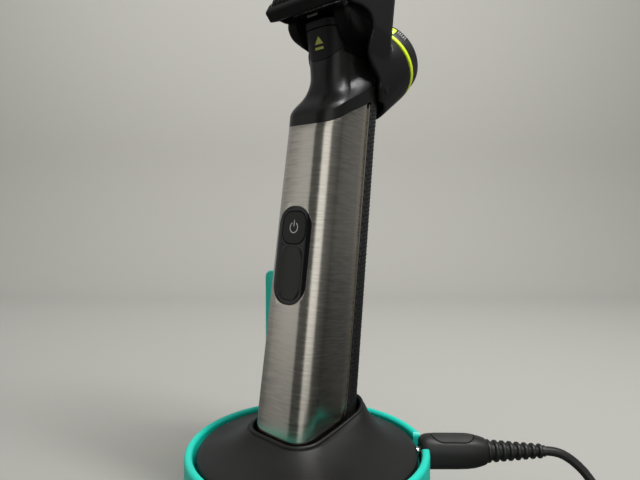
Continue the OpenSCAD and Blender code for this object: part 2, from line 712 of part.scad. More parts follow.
module dial_ring() {
  color([0.85, 0.95, 0.1]) in_shaver() on_wheel() translate([0, 0, 0.25]) difference() {
    cylinder(h = ring_t, r = 17.1, $fn = 72);
    translate([0, 0, -1]) cylinder(h = 5, d = spindle_d + 2 * fit);
    // the notch beside the pointer
    rotate([0, 0, -52]) translate([17.1 - 1.2, -0.6, -1]) cube([3, 1.2, 5]);
  }
}
module wheel_spindle() {
  color("silver") in_shaver() on_wheel() {
    translate([0, 0, -spindle_low]) cylinder(h = spindle_low + wheel_h - 2.2, d = spindle_d);
  }
}

/* Lead */

plug_x0 = ring_in + 0.4;
plug_x1 = 69;
relief_x1 = 92;
module along_x(x, z = plug_z, y = plug_y) { translate([x, y, z]) rotate([0, 90, 0]) children(); }
module plug_body() {
  color([0.1, 0.1, 0.1]) difference() {
    hull($fn = 32) {
      along_x(plug_x0) cylinder(h = 1, d = plug_w - 1.6);
      for (s = [-1, 1]) along_x(plug_x0 + 3, plug_z + s * (plug_h - plug_w) / 2) cylinder(h = 16, d = plug_w);
      for (s = [-1, 1]) along_x(plug_x1 - 2, plug_z + s * 0.4) cylinder(h = 2, d = 9);
    }
    along_x(plug_x0 - 1) cylinder(h = 4, d = tip_d + eps);
    along_x(56, plug_z + plug_h / 2 + 1) rotate([0, -90, 0]) pad_form(fit, 1.7 + fit);
  }
}
module pad_form(e, h) {
  translate([0, 0, -h]) hull($fn = 32) for (s = [-1, 1])
    translate([s * 4, 0, 0]) cylinder(h = h, r = 4 + e);
}
module plug_grip() {
  color([0.16, 0.16, 0.16]) along_x(56, plug_z + plug_h / 2 + 0.3) rotate([0, -90, 0]) pad_form(0, 1);
}
module plug_tip() {
  tip_x0 = inlet_x1 - inlet_l + 2;
  color("silver") along_x(tip_x0) cylinder(h = plug_x0 + 2.8 - tip_x0, d = tip_d);
}
relief_r0 = 4.3;
relief_r1 = 2.7;
rib_count = 8;
module relief(l, r0, r1, n) {
  step = l / n;
  difference() {
    rotate_extrude() union() {
      polygon([[0, 0], [r0 - 0.7, 0], [r1 - 0.7, l], [0, l]]);
      for (i = [0 : n - 1]) translate([0, i * step])
        square([r0 + (r1 - r0) * i / (n - 1), step * 0.58]);
    }
    translate([0, 0, l - 2]) cylinder(h = 3, d = cord_d + eps);
  }
}
module strain_relief() {
  color([0.1, 0.1, 0.1]) along_x(plug_x1) relief(relief_x1 - plug_x1, relief_r0, relief_r1, rib_count);
}

// Free stretch of the cord: from the strain relief down to the surface and into the coil
coil_x = 92;
coil_y = -48;
coil_z = cord_d / 2 + 0.8;
cord_route = [
  [90, 2.3, 25.5], [94, 2.3, 25.4], [98, 2, 24.6], [102, 1.4, 22.4], [106, 0.2, 18.8], [109, -1.6, 14.6],
  [112, -4.4, 10.2], [114.6, -8.6, 6.4], [116.6, -14, 3.9], [118, -20.4, 2.9], [118.8, -28, 2.7],
  [119.2, -36, 2.6]
];
function unit(v) = v / norm(v);
function tangent(path, i) = unit(path[min(i + 1, len(path) - 1)] - path[max(i - 1, 0)]);
// A tube of n sides swept along a path; the side axis stays near the horizontal
function tube_ring(path, i, r, n) = let (t = tangent(path, i), a = unit(cross(t, [0, 0, 1])), b = cross(a, t))
  [for (k = [0 : n - 1]) let (w = 360 * (k + 0.5) / n) path[i] + r * (cos(w) * a + sin(w) * b)];
module tube(path, r, n) {
  m = len(path);
  points = [for (i = [0 : m - 1]) each tube_ring(path, i, r, n)];
  sides = [for (j = [0 : m - 2], i = [0 : n - 1]) let (k = (i + 1) % n)
    each [[j * n + i, (j + 1) * n + k, (j + 1) * n + i], [j * n + i, j * n + k, (j + 1) * n + k]]];
  polyhedron(points, concat(sides, [[for (i = [0 : n - 1]) n - 1 - i]], [[for (i = [0 : n - 1]) (m - 1) * n + i]]));
}
module cord() { color([0.08, 0.08, 0.08]) tube(concat(cord_route, [coil_path[0]]), cord_d / 2, 8); }

// Coil: one tube that spirals in and out in four layers
coil_turns = 13.25;
coil_layers = 4;
coil_pitch = cord_d + 0.45;
coil_per = coil_turns / coil_layers;
coil_rings = 24;
function coil_layer(s) = min(floor(s / coil_per), coil_layers - 1);
function coil_radius(s) = let (k = coil_layer(s), f = s - k * coil_per, h = (coil_per / 2 - f) * coil_pitch)
  coil_r + (k % 2 == 0 ? h : -h);
function coil_height(s) = let (k = round(s / coil_per), near = k * coil_per, d = (s - near) / 0.5)
  k > 0 && k < coil_layers && abs(d) < 0.5 ? k - 0.5 + d : coil_layer(s);
function coil_point(s) = let (r = coil_radius(s), a = -360 * s)
  [coil_x + r * cos(a), coil_y + r * sin(a), coil_z + coil_height(s) * coil_pitch];
coil_steps = coil_turns * coil_rings;
coil_body = [for (i = [0 : coil_steps]) coil_point(i / coil_rings)];
coil_end = coil_body[len(coil_body) - 1];
coil_start = coil_body[0];
coil_tail = 18;
coil_path = concat([coil_start + [0, cord_d + 2.5, 0]], coil_body, [coil_end - [coil_tail, 0, 0]]);
coil_gap = min([for (i = [0 : len(coil_body) - 13], j = [i + 12 : len(coil_body) - 1])
  norm(coil_body[i] - coil_body[j])]) - cord_d;
echo(coil_gap = coil_gap);  // cord_coil
module cord_coil() { color([0.08, 0.08, 0.08]) tube(coil_path, cord_d / 2, 6); }

tie_t = 0.6;
tie_w = 6;
module coil_tie() {
  w = coil_per * coil_pitch + cord_d + 0.8;
  h = (coil_layers - 1) * coil_pitch + cord_d + 0.6;
  color([0.12, 0.12, 0.12]) translate([coil_x - coil_r, coil_y + tie_w / 2, 0]) rotate([90, 0, 0])
    linear_extrude(tie_w) difference() {
      translate([-w / 2 - tie_t, 0]) square([w + 2 * tie_t, h + 2 * tie_t]);
      translate([-w / 2, tie_t]) square([w, h]);
    }
}

// Wall adapter, lying beside the coil
relief_l = 14;
adapter_z = coil_end.z;
adapter_x1 = coil_end.x - coil_tail - relief_l;
adapter_h = 2 * adapter_z;
module adapter_body() {
  r = 5;
  color([0.1, 0.1, 0.1]) translate([adapter_x1 - adapter_l, coil_end.y, 0]) difference() {
    translate([0, -adapter_w / 2, 0]) rotate([90, 0, 90]) linear_extrude(adapter_l) union() {
      translate([r, 0]) square([adapter_w - 2 * r, adapter_h]);
      translate([0, r]) square([adapter_w, adapter_h - 2 * r]);
      for (x = [r, adapter_w - r], z = [r, adapter_h - r]) translate([x, z]) circle(r);
    }
    for (s = [-1, 1]) translate([-1, s * pins_pitch / 2, adapter_z]) rotate([0, 90, 0]) cylinder(h = 9, d = pins_d);
  }
}
pins_pitch = 18.6;
pins_d = 4;
pins_l = 19;
module adapter_pins() {
  color("silver") for (s = [-1, 1])
    translate([adapter_x1 - adapter_l - pins_l, coil_end.y + s * pins_pitch / 2, adapter_z])
      rotate([0, 90, 0]) cylinder(h = pins_l + 8, d = pins_d);
}
module adapter_relief() {
  color([0.1, 0.1, 0.1]) translate([adapter_x1, coil_end.y, adapter_z]) rotate([0, 90, 0])
    relief(relief_l, 4, 2.7, 5);
}

holder();
stand_shell();
stand_base();
stand_feet();
stand_screws();
contact_block();
contact_pins();
stand_board();
inlet_socket();
handle_sleeve();
grip_back();
chassis();
end_cap();
charge_contacts();
cell();
main_board();
button_switch();
motor();
grip_screws();
button_panel();
display_window();
neck_housing();
power_button();
release_slider();
drive_shaft();
blade_carrier();
guard_plate();
cutter();
comb_cradle();
comb_frame();
comb_teeth();
length_wheel();
dial_ring();
wheel_spindle();
plug_body();
plug_grip();
plug_tip();
strain_relief();
cord();
cord_coil();
coil_tie();
adapter_body();
adapter_relief();
adapter_pins();
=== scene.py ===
"""Looks of a trimmer seated in its charging stand, inside an open ring holder.

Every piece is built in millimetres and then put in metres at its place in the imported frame.
"""

import logging
import math
from dataclasses import dataclass
from enum import Enum
from typing import Callable, Iterable, Sequence

import bpy
from mathutils import Matrix, Vector


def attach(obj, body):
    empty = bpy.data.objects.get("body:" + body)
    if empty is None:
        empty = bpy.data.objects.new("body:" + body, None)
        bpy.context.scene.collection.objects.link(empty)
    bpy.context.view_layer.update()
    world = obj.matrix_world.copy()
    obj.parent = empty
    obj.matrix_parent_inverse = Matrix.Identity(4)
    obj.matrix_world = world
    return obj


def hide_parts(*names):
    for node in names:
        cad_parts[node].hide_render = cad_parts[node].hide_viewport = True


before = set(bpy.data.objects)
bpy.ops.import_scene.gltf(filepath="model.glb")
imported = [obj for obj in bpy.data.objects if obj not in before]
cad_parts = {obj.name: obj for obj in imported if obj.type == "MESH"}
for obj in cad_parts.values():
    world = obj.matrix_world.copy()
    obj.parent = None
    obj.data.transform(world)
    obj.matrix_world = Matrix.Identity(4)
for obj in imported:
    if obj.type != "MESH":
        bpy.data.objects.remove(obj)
log = logging.getLogger("shaver_stand")

MM = 0.001
FAR = 40.0  # Past every side of the shaver, for cutting tools
SHARP = 50.0  # The usual angle, in degrees, from which an edge is rounded
Point = tuple[float, float, float]
Flat = tuple[float, float]

RIM_Z = 30.0
SHAVER_YAW, SHAVER_LEAN, LEAN_TO = 42.0, 6.3, 36.0


def turned(axis: str, degrees: float) -> Matrix:
    """A turn about one axis, as a 4 by 4 matrix."""
    return Matrix.Rotation(math.radians(degrees), 4, axis)


SHAVER_POSE = (
    Matrix.Translation((-1.0, 5.0, RIM_Z))
    @ turned("Z", LEAN_TO)
    @ turned("Y", SHAVER_LEAN)
    @ turned("Z", -LEAN_TO - SHAVER_YAW)
)
UPRIGHT = Matrix.Identity(4)
PLUG_AT: Flat = (2.3, 25.5)


# Mesh tools


def deselect() -> None:
    """Leave edit mode and select nothing."""
    if bpy.context.object and bpy.context.object.mode != "OBJECT":
        bpy.ops.object.mode_set(mode="OBJECT")
    bpy.ops.object.select_all(action="DESELECT")


def pick(piece: bpy.types.Object) -> None:
    """Select one piece alone and make it active."""
    deselect()
    piece.select_set(True)
    bpy.context.view_layer.objects.active = piece


def edit_all(piece: bpy.types.Object, *steps: Callable[[], object]) -> None:
    """Select all of one piece in edit mode and run operators on it.

    Args:
        piece: The piece that is changed.
        *steps: The operators' calls, in order.
    """
    pick(piece)
    bpy.ops.object.mode_set(mode="EDIT")
    bpy.ops.mesh.select_all(action="SELECT")
    for step in steps:
        step()
    bpy.ops.object.mode_set(mode="OBJECT")


def linked(name: str, mesh: bpy.types.Mesh) -> bpy.types.Object:
    """Make an object of a mesh and link it to the scene."""
    piece = bpy.data.objects.new(name, mesh)
    bpy.context.scene.collection.objects.link(piece)
    return piece


def mesh_piece(
    name: str, points: Sequence[Sequence[float]], faces: Sequence[Sequence[int]]
) -> bpy.types.Object:
    """Make a mesh object from points and faces.

    Args:
        name: The object's name.
        points: Corners, in millimetres.
        faces: Corner numbers of each face, turning left seen from outside.

    Returns:
        The new object, linked to the scene.
    """
    mesh = bpy.data.meshes.new(name)
    mesh.from_pydata([tuple(p) for p in points], [], [tuple(f) for f in faces])
    mesh.validate()
    return linked(name, mesh)


def skin(
    name: str, rings: Sequence[Sequence[Point]], closed: bool = True, caps: bool = True
) -> bpy.types.Object:
    """Join rings of points with faces, from the first ring to the last.

    Args:
        name: The object's name.
        rings: Rings with the same count of points.
        closed: Whether each ring runs back to its first point.
        caps: Whether the first and last ring are filled.

    Returns:
        The skinned piece, its faces pointing outwards when it is capped.
    """
    count = len(rings[0])
    points = [p for ring in rings for p in ring]
    faces: list[tuple[int, ...]] = []
    for row in range(len(rings) - 1):
        for col in range(count if closed else count - 1):
            a, b = row * count + col, row * count + (col + 1) % count
            faces.append((a, b, b + count, a + count))
    if caps and closed:
        faces.append(tuple(reversed(range(count))))
        faces.append(tuple(range((len(rings) - 1) * count, len(rings) * count)))
    piece = mesh_piece(name, points, faces)
    if caps and closed:
        outward(piece)
    return piece


def outward(piece: bpy.types.Object) -> None:
    """Merge the doubles of a closed piece and point every face outwards."""
    edit_all(
        piece,
        lambda: bpy.ops.mesh.remove_doubles(threshold=0.0005),
        lambda: bpy.ops.mesh.normals_make_consistent(inside=False),
    )


def finish_modifier(piece: bpy.types.Object, kind: str, **values: object) -> None:
    """Add one modifier, set its values and apply it.

    Args:
        piece: The piece that is changed.
        kind: Blender's name of the modifier's type.
        **values: The modifier's own values.
    """
    pick(piece)
    modifier = piece.modifiers.new(kind.title(), kind)
    for key, value in values.items():
        setattr(modifier, key, value)
    bpy.ops.object.modifier_apply(modifier=modifier.name)


def cut(piece: bpy.types.Object, tool: bpy.types.Object, how: str = "DIFFERENCE") -> bpy.types.Object:
    """Cut, join or meet a piece with a tool, which is used up.

    Args:
        piece: The piece that is changed.
        tool: The other solid.
        how: DIFFERENCE, UNION or INTERSECT.

    Returns:
        The changed piece.
    """
    finish_modifier(piece, "BOOLEAN", operation=how, object=tool, solver="EXACT")
    bpy.data.objects.remove(tool)
    return piece


def soften(
    piece: bpy.types.Object, width: float, steps: int = 2, angle: float = SHARP, slot: int = -1
) -> None:
    """Round the piece's sharp edges.

    Args:
        piece: The piece that is changed.
        width: Width of the rounding, in the piece's own unit.
        steps: Faces across the rounding.
        angle: Edges sharper than this many degrees are rounded.
        slot: Material slot of the new faces, or -1 to keep the old one.
    """
    finish_modifier(
        piece,
        "BEVEL",
        width=width,
        segments=steps,
        limit_method="ANGLE",
        angle_limit=math.radians(angle),
        material=slot,
        use_clamp_overlap=True,
        miter_outer="MITER_ARC",
    )


def solid_outline(
    name: str,
    outline: Sequence[Flat],
    low: float,
    high: float,
    lay: Callable[[float, float, float], Point],
) -> bpy.types.Object:
    """Extrude a flat outline into a solid.

    Args:
        name: The object's name.
        outline: The outline's points, turning left.
        low: Where the solid starts.
        high: Where it ends.
        lay: Turns outline x, outline y and height into a point.

    Returns:
        The solid.
    """
    piece = mesh_piece(name, [lay(x, y, low) for x, y in outline], [range(len(outline))])
    way = Vector(lay(0.0, 0.0, high)) - Vector(lay(0.0, 0.0, low))
    edit_all(piece, lambda: bpy.ops.mesh.extrude_region_move(TRANSFORM_OT_translate={"value": way}))
    outward(piece)
    return piece


def along_y(x: float, y: float, h: float) -> Point:
    """Lay an outline in the plane of X and Z, with its height along Y."""
    return (x, h, y)


def along_x(x: float, y: float, h: float) -> Point:
    """Lay an outline in the plane of Y and Z, with its height along X."""
    return (h, x, y)


def along_z(x: float, y: float, h: float) -> Point:
    """Lay an outline flat, with its height along Z."""
    return (x, y, h)


def arc(cx: float, cy: float, r: float, start: float, end: float, steps: int) -> list[Flat]:
    """Points on an arc, from start to end in degrees."""
    return [
        (cx + r * math.cos(math.radians(a)), cy + r * math.sin(math.radians(a)))
        for a in (start + (end - start) * i / steps for i in range(steps + 1))
    ]


def pill(w: float, low: float, high: float, r: float, steps: int = 12) -> list[Flat]:
    """Outline of an upright rounded plate, centred on x."""
    x = w / 2 - r
    return (
        arc(x, low + r, r, -90, 0, steps)
        + arc(x, high - r, r, 0, 90, steps)
        + arc(-x, high - r, r, 90, 180, steps)
        + arc(-x, low + r, r, 180, 270, steps)
    )


def box(name: str, x: Flat, y: Flat, z: Flat) -> bpy.types.Object:
    """A plain block, for a cutting tool or as a start."""
    return solid_outline(name, [(x[0], y[0]), (x[1], y[0]), (x[1], y[1]), (x[0], y[1])], z[0], z[1], along_z)


def drum(name: str, r: float, low: float, high: float, steps: int = 48) -> bpy.types.Object:
    """An upright drum on the Z axis."""
    ring = arc(0, 0, r, 0, 360 - 360 / steps, steps - 1)
    return skin(name, [[(x, y, h) for x, y in ring] for h in (low, high)])


def turned_piece(name: str, profile: Sequence[Flat], steps: int = 96) -> bpy.types.Object:
    """Spin a closed profile about the Z axis.

    Args:
        name: The object's name.
        profile: Radius and height of each point, all the way round.
        steps: Faces round the piece.

    Returns:
        The turned solid.
    """
    count = len(profile)
    mesh = bpy.data.meshes.new(name)
    mesh.from_pydata([(r, 0.0, h) for r, h in profile], [(i, (i + 1) % count) for i in range(count)], [])
    piece = linked(name, mesh)
    edit_all(
        piece,
        lambda: bpy.ops.mesh.spin(steps=steps, angle=2 * math.pi, center=(0, 0, 0), axis=(0, 0, 1)),
    )
    outward(piece)
    return piece


def tube(name: str, path: Sequence[Vector], radius: float, sides: int) -> bpy.types.Object:
    """Sweep a round tube along a path.

    Args:
        name: The object's name.
        path: The points of its middle line.
        radius: The tube's radius, in the path's own unit.
        sides: Faces round it.

    Returns:
        The closed tube.
    """
    rings: list[list[Point]] = []
    side: Vector | None = None
    for i, point in enumerate(path):
        ahead = (path[min(i + 1, len(path) - 1)] - path[max(i - 1, 0)]).normalized()
        if side is None:
            side = ahead.cross(Vector((0, 0, 1))).normalized()
        side = (side - ahead * side.dot(ahead)).normalized()
        up = side.cross(ahead)
        rings.append([
            tuple(point + radius * (math.cos(a) * side + math.sin(a) * up))
            for a in (2 * math.pi * (k + 0.5) / sides for k in range(sides))
        ])
    return skin(name, rings)


def through(points: Sequence[Sequence[float]], steps: int) -> list[Vector]:
    """Run a smooth curve through points.

    Args:
        points: The points, in order, all flat or all in space.
        steps: Pieces between two points.

    Returns:
        Points on the curve, the first and the last included.
    """
    pts = [Vector(p) for p in points]
    ends = [2 * pts[0] - pts[1], *pts, 2 * pts[-1] - pts[-2]]
    out: list[Vector] = []
    for i in range(1, len(ends) - 2):
        p0, p1, p2, p3 = ends[i - 1 : i + 3]
        for k in range(steps):
            u = k / steps
            straight, bent = (p2 - p0) * u, (2 * p0 - 5 * p1 + 4 * p2 - p3) * u * u
            out.append(0.5 * (2 * p1 + straight + bent + (3 * p1 - p0 - 3 * p2 + p3) * u**3))
    return [*out, pts[-1]]


def smooth_line(points: Sequence[Flat], steps: int) -> list[Flat]:
    """Flat points on a smooth curve through the points, as many steps between two of them."""
    return [(p.x, p.y) for p in through(points, steps)]


def smooth_path(points: Sequence[Sequence[float]], spacing: float) -> list[Vector]:
    """Run one smooth curve through the points and step along it evenly.

    Args:
        points: The points that the curve passes.
        spacing: The step along it.

    Returns:
        Points on the curve, the first and the last included.
    """
    fine = through(points, 12)
    total = sum((b - a).length for a, b in zip(fine, fine[1:]))
    count = max(2, round(total / spacing))
    step, out, walked, i = total / count, [fine[0]], 0.0, 0
    for k in range(1, count):
        while walked + (fine[i + 1] - fine[i]).length < k * step:
            walked += (fine[i + 1] - fine[i]).length
            i += 1
        share = (k * step - walked) / (fine[i + 1] - fine[i]).length
        out.append(fine[i].lerp(fine[i + 1], share))
    out.append(fine[-1])
    return out


def stepped(rows: Sequence[Sequence[float]], at: float) -> list[float]:
    """Read a table of rows at a height, with smooth steps between the rows.

    Args:
        rows: Rows whose first value is the height, from low to high.
        at: The height that is asked for.

    Returns:
        The other values at that height.
    """
    if at <= rows[0][0]:
        return list(rows[0][1:])
    for i in range(len(rows) - 1):
        if at <= rows[i + 1][0]:
            span = rows[i + 1][0] - rows[i][0]
            u = (at - rows[i][0]) / span
            before, after = rows[max(i - 1, 0)], rows[min(i + 2, len(rows) - 1)]
            out = []
            for k in range(1, len(rows[0])):
                a, b = rows[i][k], rows[i + 1][k]
                ma = (b - before[k]) / (rows[i + 1][0] - before[0]) * span
                mb = (after[k] - a) / (after[0] - rows[i][0]) * span
                out.append(
                    a * (2 * u**3 - 3 * u**2 + 1)
                    + ma * (u**3 - 2 * u**2 + u)
                    + b * (3 * u**2 - 2 * u**3)
                    + mb * (u**3 - u**2)
                )
            return out
    return list(rows[-1][1:])


def placed(piece: bpy.types.Object, where: Matrix) -> bpy.types.Object:
    """Move a piece's mesh and give the piece back."""
    piece.data.transform(where)
    return piece


def put(
    piece: bpy.types.Object,
    body: str,
    finishes: Iterable["Finish"],
    pose: Matrix = UPRIGHT,
    angle: float = 35.0,
    stands_for: Sequence[str] = (),
) -> None:
    """Put a finished piece in the frame, in metres, and hang it on its body.

    Args:
        piece: The piece, in millimetres.
        body: The body that it rides on.
        finishes: Its finishes, in the order of its material slots.
        pose: Where the piece's own axes stand.
        angle: Edges flatter than this many degrees are shaded smooth.
        stands_for: The CAD nodes that it replaces.
    """
    piece.data.transform(Matrix.Scale(MM, 4) @ pose)
    piece.data.materials.clear()
    for finish in finishes:
        piece.data.materials.append(finish.material())
    pick(piece)
    bpy.ops.object.shade_smooth_by_angle(angle=math.radians(angle))
    deselect()
    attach(piece, body)
    if stands_for:
        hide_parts(*stands_for)
    log.info("%s: %d faces on %s", piece.name, len(piece.data.polygons), body)


# Finishes


class Surface(Enum):
    """How a surface is worked."""

    MOULDED = "moulded plastic with a fine grain"
    BRUSHED = "metal brushed round the handle"
    PRINTED = "printed in fine layers"
    SMOOTH = "gloss or polished"


PATCH_SPAN: Flat = (0.3, 0.7)
STREAK_SPAN: Flat = (0.36, 0.64)
LAYER_HEIGHT = 0.0003
LAYER_SHARE = 0.35
BRUSH_STRETCH: tuple[tuple[str, Point, float], ...] = (
    ("Height", (90.0, 90.0, 3600.0), 3.0),
    ("Streaks", (150.0, 150.0, 1400.0), 4.0),
    ("Patches", (30.0, 30.0, 120.0), 2.0),
)


def grain_group() -> bpy.types.NodeTree:
    """Fine moulded grain: a height and an uneven mask.

    Returns:
        The node group, made once and shared.
    """
    name = "moulded grain"
    if name in bpy.data.node_groups:
        return bpy.data.node_groups[name]
    tree = bpy.data.node_groups.new(name, "ShaderNodeTree")
    for label, default in (("Scale", 2500.0), ("Patch Scale", 60.0)):
        socket = tree.interface.new_socket(label, in_out="INPUT", socket_type="NodeSocketFloat")
        socket.default_value = default
    tree.interface.new_socket("Vector", in_out="INPUT", socket_type="NodeSocketVector")
    for label in ("Height", "Patches"):
        tree.interface.new_socket(label, in_out="OUTPUT", socket_type="NodeSocketFloat")
    enter, leave = tree.nodes.new("NodeGroupInput"), tree.nodes.new("NodeGroupOutput")
    fine = tree.nodes.new("ShaderNodeTexNoise")
    fine.inputs["Detail"].default_value = 2.0
    broad = tree.nodes.new("ShaderNodeTexNoise")
    broad.inputs["Detail"].default_value = 5.0
    broad.inputs["Roughness"].default_value = 0.6
    for node, scale in ((fine, "Scale"), (broad, "Patch Scale")):
        tree.links.new(enter.outputs["Vector"], node.inputs["Vector"])
        tree.links.new(enter.outputs[scale], node.inputs["Scale"])
    tree.links.new(fine.outputs["Fac"], leave.inputs["Height"])
    tree.links.new(broad.outputs["Fac"], leave.inputs["Patches"])
    return tree


def brush_group() -> bpy.types.NodeTree:
    """Brush marks that run round the leaning handle.

    Returns:
        The node group, made once and shared.
    """
    name = "brush marks"
    if name in bpy.data.node_groups:
        return bpy.data.node_groups[name]
    tree = bpy.data.node_groups.new(name, "ShaderNodeTree")
    tree.interface.new_socket("Vector", in_out="INPUT", socket_type="NodeSocketVector")
    for label in ("Height", "Streaks", "Patches"):
        tree.interface.new_socket(label, in_out="OUTPUT", socket_type="NodeSocketFloat")
    enter, leave = tree.nodes.new("NodeGroupInput"), tree.nodes.new("NodeGroupOutput")
    turn = tree.nodes.new("ShaderNodeMapping")
    turn.inputs["Rotation"].default_value = SHAVER_POSE.to_3x3().inverted().to_euler()
    tree.links.new(enter.outputs["Vector"], turn.inputs["Vector"])
    for label, stretch, detail in BRUSH_STRETCH:
        squeeze = tree.nodes.new("ShaderNodeMapping")
        squeeze.inputs["Scale"].default_value = stretch
        noise = tree.nodes.new("ShaderNodeTexNoise")
        noise.inputs["Scale"].default_value = 1.0
        noise.inputs["Detail"].default_value = detail
        tree.links.new(turn.outputs["Vector"], squeeze.inputs["Vector"])
        tree.links.new(squeeze.outputs["Vector"], noise.inputs["Vector"])
        tree.links.new(noise.outputs["Fac"], leave.inputs[label])
    return tree


@dataclass(frozen=True)
class Finish:
    """One finish: its colour, its gloss and how its surface is worked.

    Attributes:
        name: The material's name.
        colour: Plain colour, linear red, green and blue.
        rough: Roughness at its smoothest and at its roughest.
        surface: How the surface is worked.
        metal: 1 for a metal.
        grain: Scale of the fine grain, per metre.
        depth: Height of the grain, in metres.
        shift: How far the colour varies.
        specular: Specular level.
    """

    name: str
    colour: Point
    rough: Flat = (0.45, 0.6)
    surface: Surface = Surface.MOULDED
    metal: float = 0.0
    grain: float = 2500.0
    depth: float = 0.00002
    shift: float = 0.12
    specular: float = 0.5

    def material(self) -> bpy.types.Material:
        """Build the material once, and then give the same one.

        Returns:
            The finish as a material.
        """
        if self.name in bpy.data.materials:
            return bpy.data.materials[self.name]
        made = bpy.data.materials.new(self.name)
        made.use_nodes = True
        nodes, links = made.node_tree.nodes, made.node_tree.links
        shader = nodes["Principled BSDF"]
        shader.inputs["Metallic"].default_value = self.metal
        shader.inputs["Specular IOR Level"].default_value = self.specular
        place = nodes.new("ShaderNodeTexCoord")
        brushed = self.surface is Surface.BRUSHED
        work = nodes.new("ShaderNodeGroup")
        work.node_tree = brush_group() if brushed else grain_group()
        links.new(place.outputs["Object"], work.inputs["Vector"])
        if not brushed:
            work.inputs["Scale"].default_value = self.grain
        gloss = nodes.new("ShaderNodeMapRange")
        gloss.inputs["From Min"].default_value, gloss.inputs["From Max"].default_value = PATCH_SPAN
        gloss.inputs["To Min"].default_value, gloss.inputs["To Max"].default_value = self.rough
        links.new(work.outputs["Streaks" if brushed else "Patches"], gloss.inputs["Value"])
        links.new(gloss.outputs["Result"], shader.inputs["Roughness"])
        tint = nodes.new("ShaderNodeMix")
        tint.data_type = "RGBA"
        tint.inputs["A"].default_value = (*(c * (1 - self.shift) for c in self.colour), 1.0)
        tint.inputs["B"].default_value = (*(min(1.0, c * (1 + self.shift)) for c in self.colour), 1.0)
        shade = work.outputs["Patches"]
        if brushed:
            spread = nodes.new("ShaderNodeMapRange")
            spread.inputs["From Min"].default_value, spread.inputs["From Max"].default_value = STREAK_SPAN
            links.new(work.outputs["Streaks"], spread.inputs["Value"])
            shade = spread.outputs["Result"]
        links.new(shade, tint.inputs["Factor"])
        links.new(tint.outputs["Result"], shader.inputs["Base Color"])
        if self.depth:
            bump = nodes.new("ShaderNodeBump")
            bump.inputs["Distance"].default_value = self.depth
            height = work.outputs["Height"]
            if self.surface is Surface.PRINTED:
                height = self.layers(made, place, height)
            links.new(height, bump.inputs["Height"])
            links.new(bump.outputs["Normal"], shader.inputs["Normal"])
        return made

    def layers(
        self, made: bpy.types.Material, place: bpy.types.Node, grain: bpy.types.NodeSocket
    ) -> bpy.types.NodeSocket:
        """Add the fine level layers of a print to the grain.

        Args:
            made: The material.
            place: Its texture coordinates.
            grain: The height of the grain.

        Returns:
            The height with layers.
        """
        nodes, links = made.node_tree.nodes, made.node_tree.links
        apart = nodes.new("ShaderNodeSeparateXYZ")
        wave = nodes.new("ShaderNodeMath")
        wave.operation = "MULTIPLY"
        wave.inputs[1].default_value = 2 * math.pi / LAYER_HEIGHT
        sine = nodes.new("ShaderNodeMath")
        sine.operation = "SINE"
        both = nodes.new("ShaderNodeMath")
        both.operation = "MULTIPLY_ADD"
        both.inputs[1].default_value = LAYER_SHARE
        links.new(place.outputs["Object"], apart.inputs["Vector"])
        links.new(apart.outputs["Z"], wave.inputs[0])
        links.new(wave.outputs[0], sine.inputs[0])
        links.new(sine.outputs[0], both.inputs[0])
        links.new(grain, both.inputs[2])
        return both.outputs[0]


KNOB = Finish(
    "dark grey knob", (0.009, 0.009, 0.009), (0.4, 0.5),
    grain=5200.0, depth=0.000008, specular=0.35,
)
ADAPTER = Finish("fine grained adapter", (0.012, 0.012, 0.012), (0.5, 0.62), grain=2600.0, depth=0.00004)
PRINT = Finish(
    "turquoise print", (0.012, 0.70, 0.55), (0.32, 0.42),
    Surface.PRINTED, depth=0.00001, shift=0.05,
)
STAND = Finish(
    "matte black stand", (0.011, 0.011, 0.0105), (0.38, 0.48),
    grain=4200.0, depth=0.00002, specular=0.32,
)
RUBBER = Finish("dark rubber", (0.032, 0.032, 0.029), (0.55, 0.7), grain=3200.0, specular=0.4)
SATIN = Finish(
    "satin black shell", (0.007, 0.007, 0.0068), (0.28, 0.36),
    grain=5200.0, depth=0.000008, specular=0.28,
)
# Darker and less glossy than the other blacks: painted shade of the comb falling over the blade carrier.
CARRIER_SHADE = Finish(
    "carrier black darkened for painted shade", (0.0035, 0.0037, 0.0035), (0.45, 0.55),
    grain=5200.0, depth=0.00001, specular=0.12,
)
# Pale ribs on the carrier's lip: a painted glint of the blade's teeth, not a moulded mark.
TEETH_GLINT = Finish("painted glint of blade teeth", (0.2, 0.2, 0.19), (0.4, 0.5), shift=0.05, depth=0.0)
COMB = Finish(
    "soft black comb", (0.006, 0.0065, 0.006), (0.44, 0.54),
    grain=5200.0, depth=0.00001, specular=0.22,
)
GRIP = Finish(
    "ribbed black grip", (0.010, 0.010, 0.0095), (0.32, 0.42),
    grain=4200.0, depth=0.000015, specular=0.5,
)
SLEEVE = Finish(
    "brushed sleeve", (0.45, 0.425, 0.37), (0.16, 0.27),
    Surface.BRUSHED, metal=1.0, depth=0.000007, shift=0.1,
)
BRIGHT = Finish("polished edge", (0.75, 0.75, 0.74), (0.1, 0.18), Surface.SMOOTH, metal=1.0, depth=0.0)
GLOSS = Finish(
    "gloss black panel", (0.003, 0.003, 0.0034), (0.06, 0.1),
    Surface.SMOOTH, depth=0.0, specular=0.34,
)
LENS = Finish(
    "dark display lens", (0.012, 0.0125, 0.008), (0.16, 0.22),
    Surface.SMOOTH, depth=0.0, specular=0.28,
)
BUTTON = Finish(
    "satin black button", (0.012, 0.0125, 0.010), (0.26, 0.34),
    grain=6200.0, depth=0.000006, specular=0.26,
)
MARK = Finish("pale print on the button", (0.62, 0.62, 0.6), (0.4, 0.5), shift=0.05, depth=0.0)
OLIVE = Finish("olive print on the slider", (0.36, 0.40, 0.06), (0.4, 0.5), shift=0.08, depth=0.0)
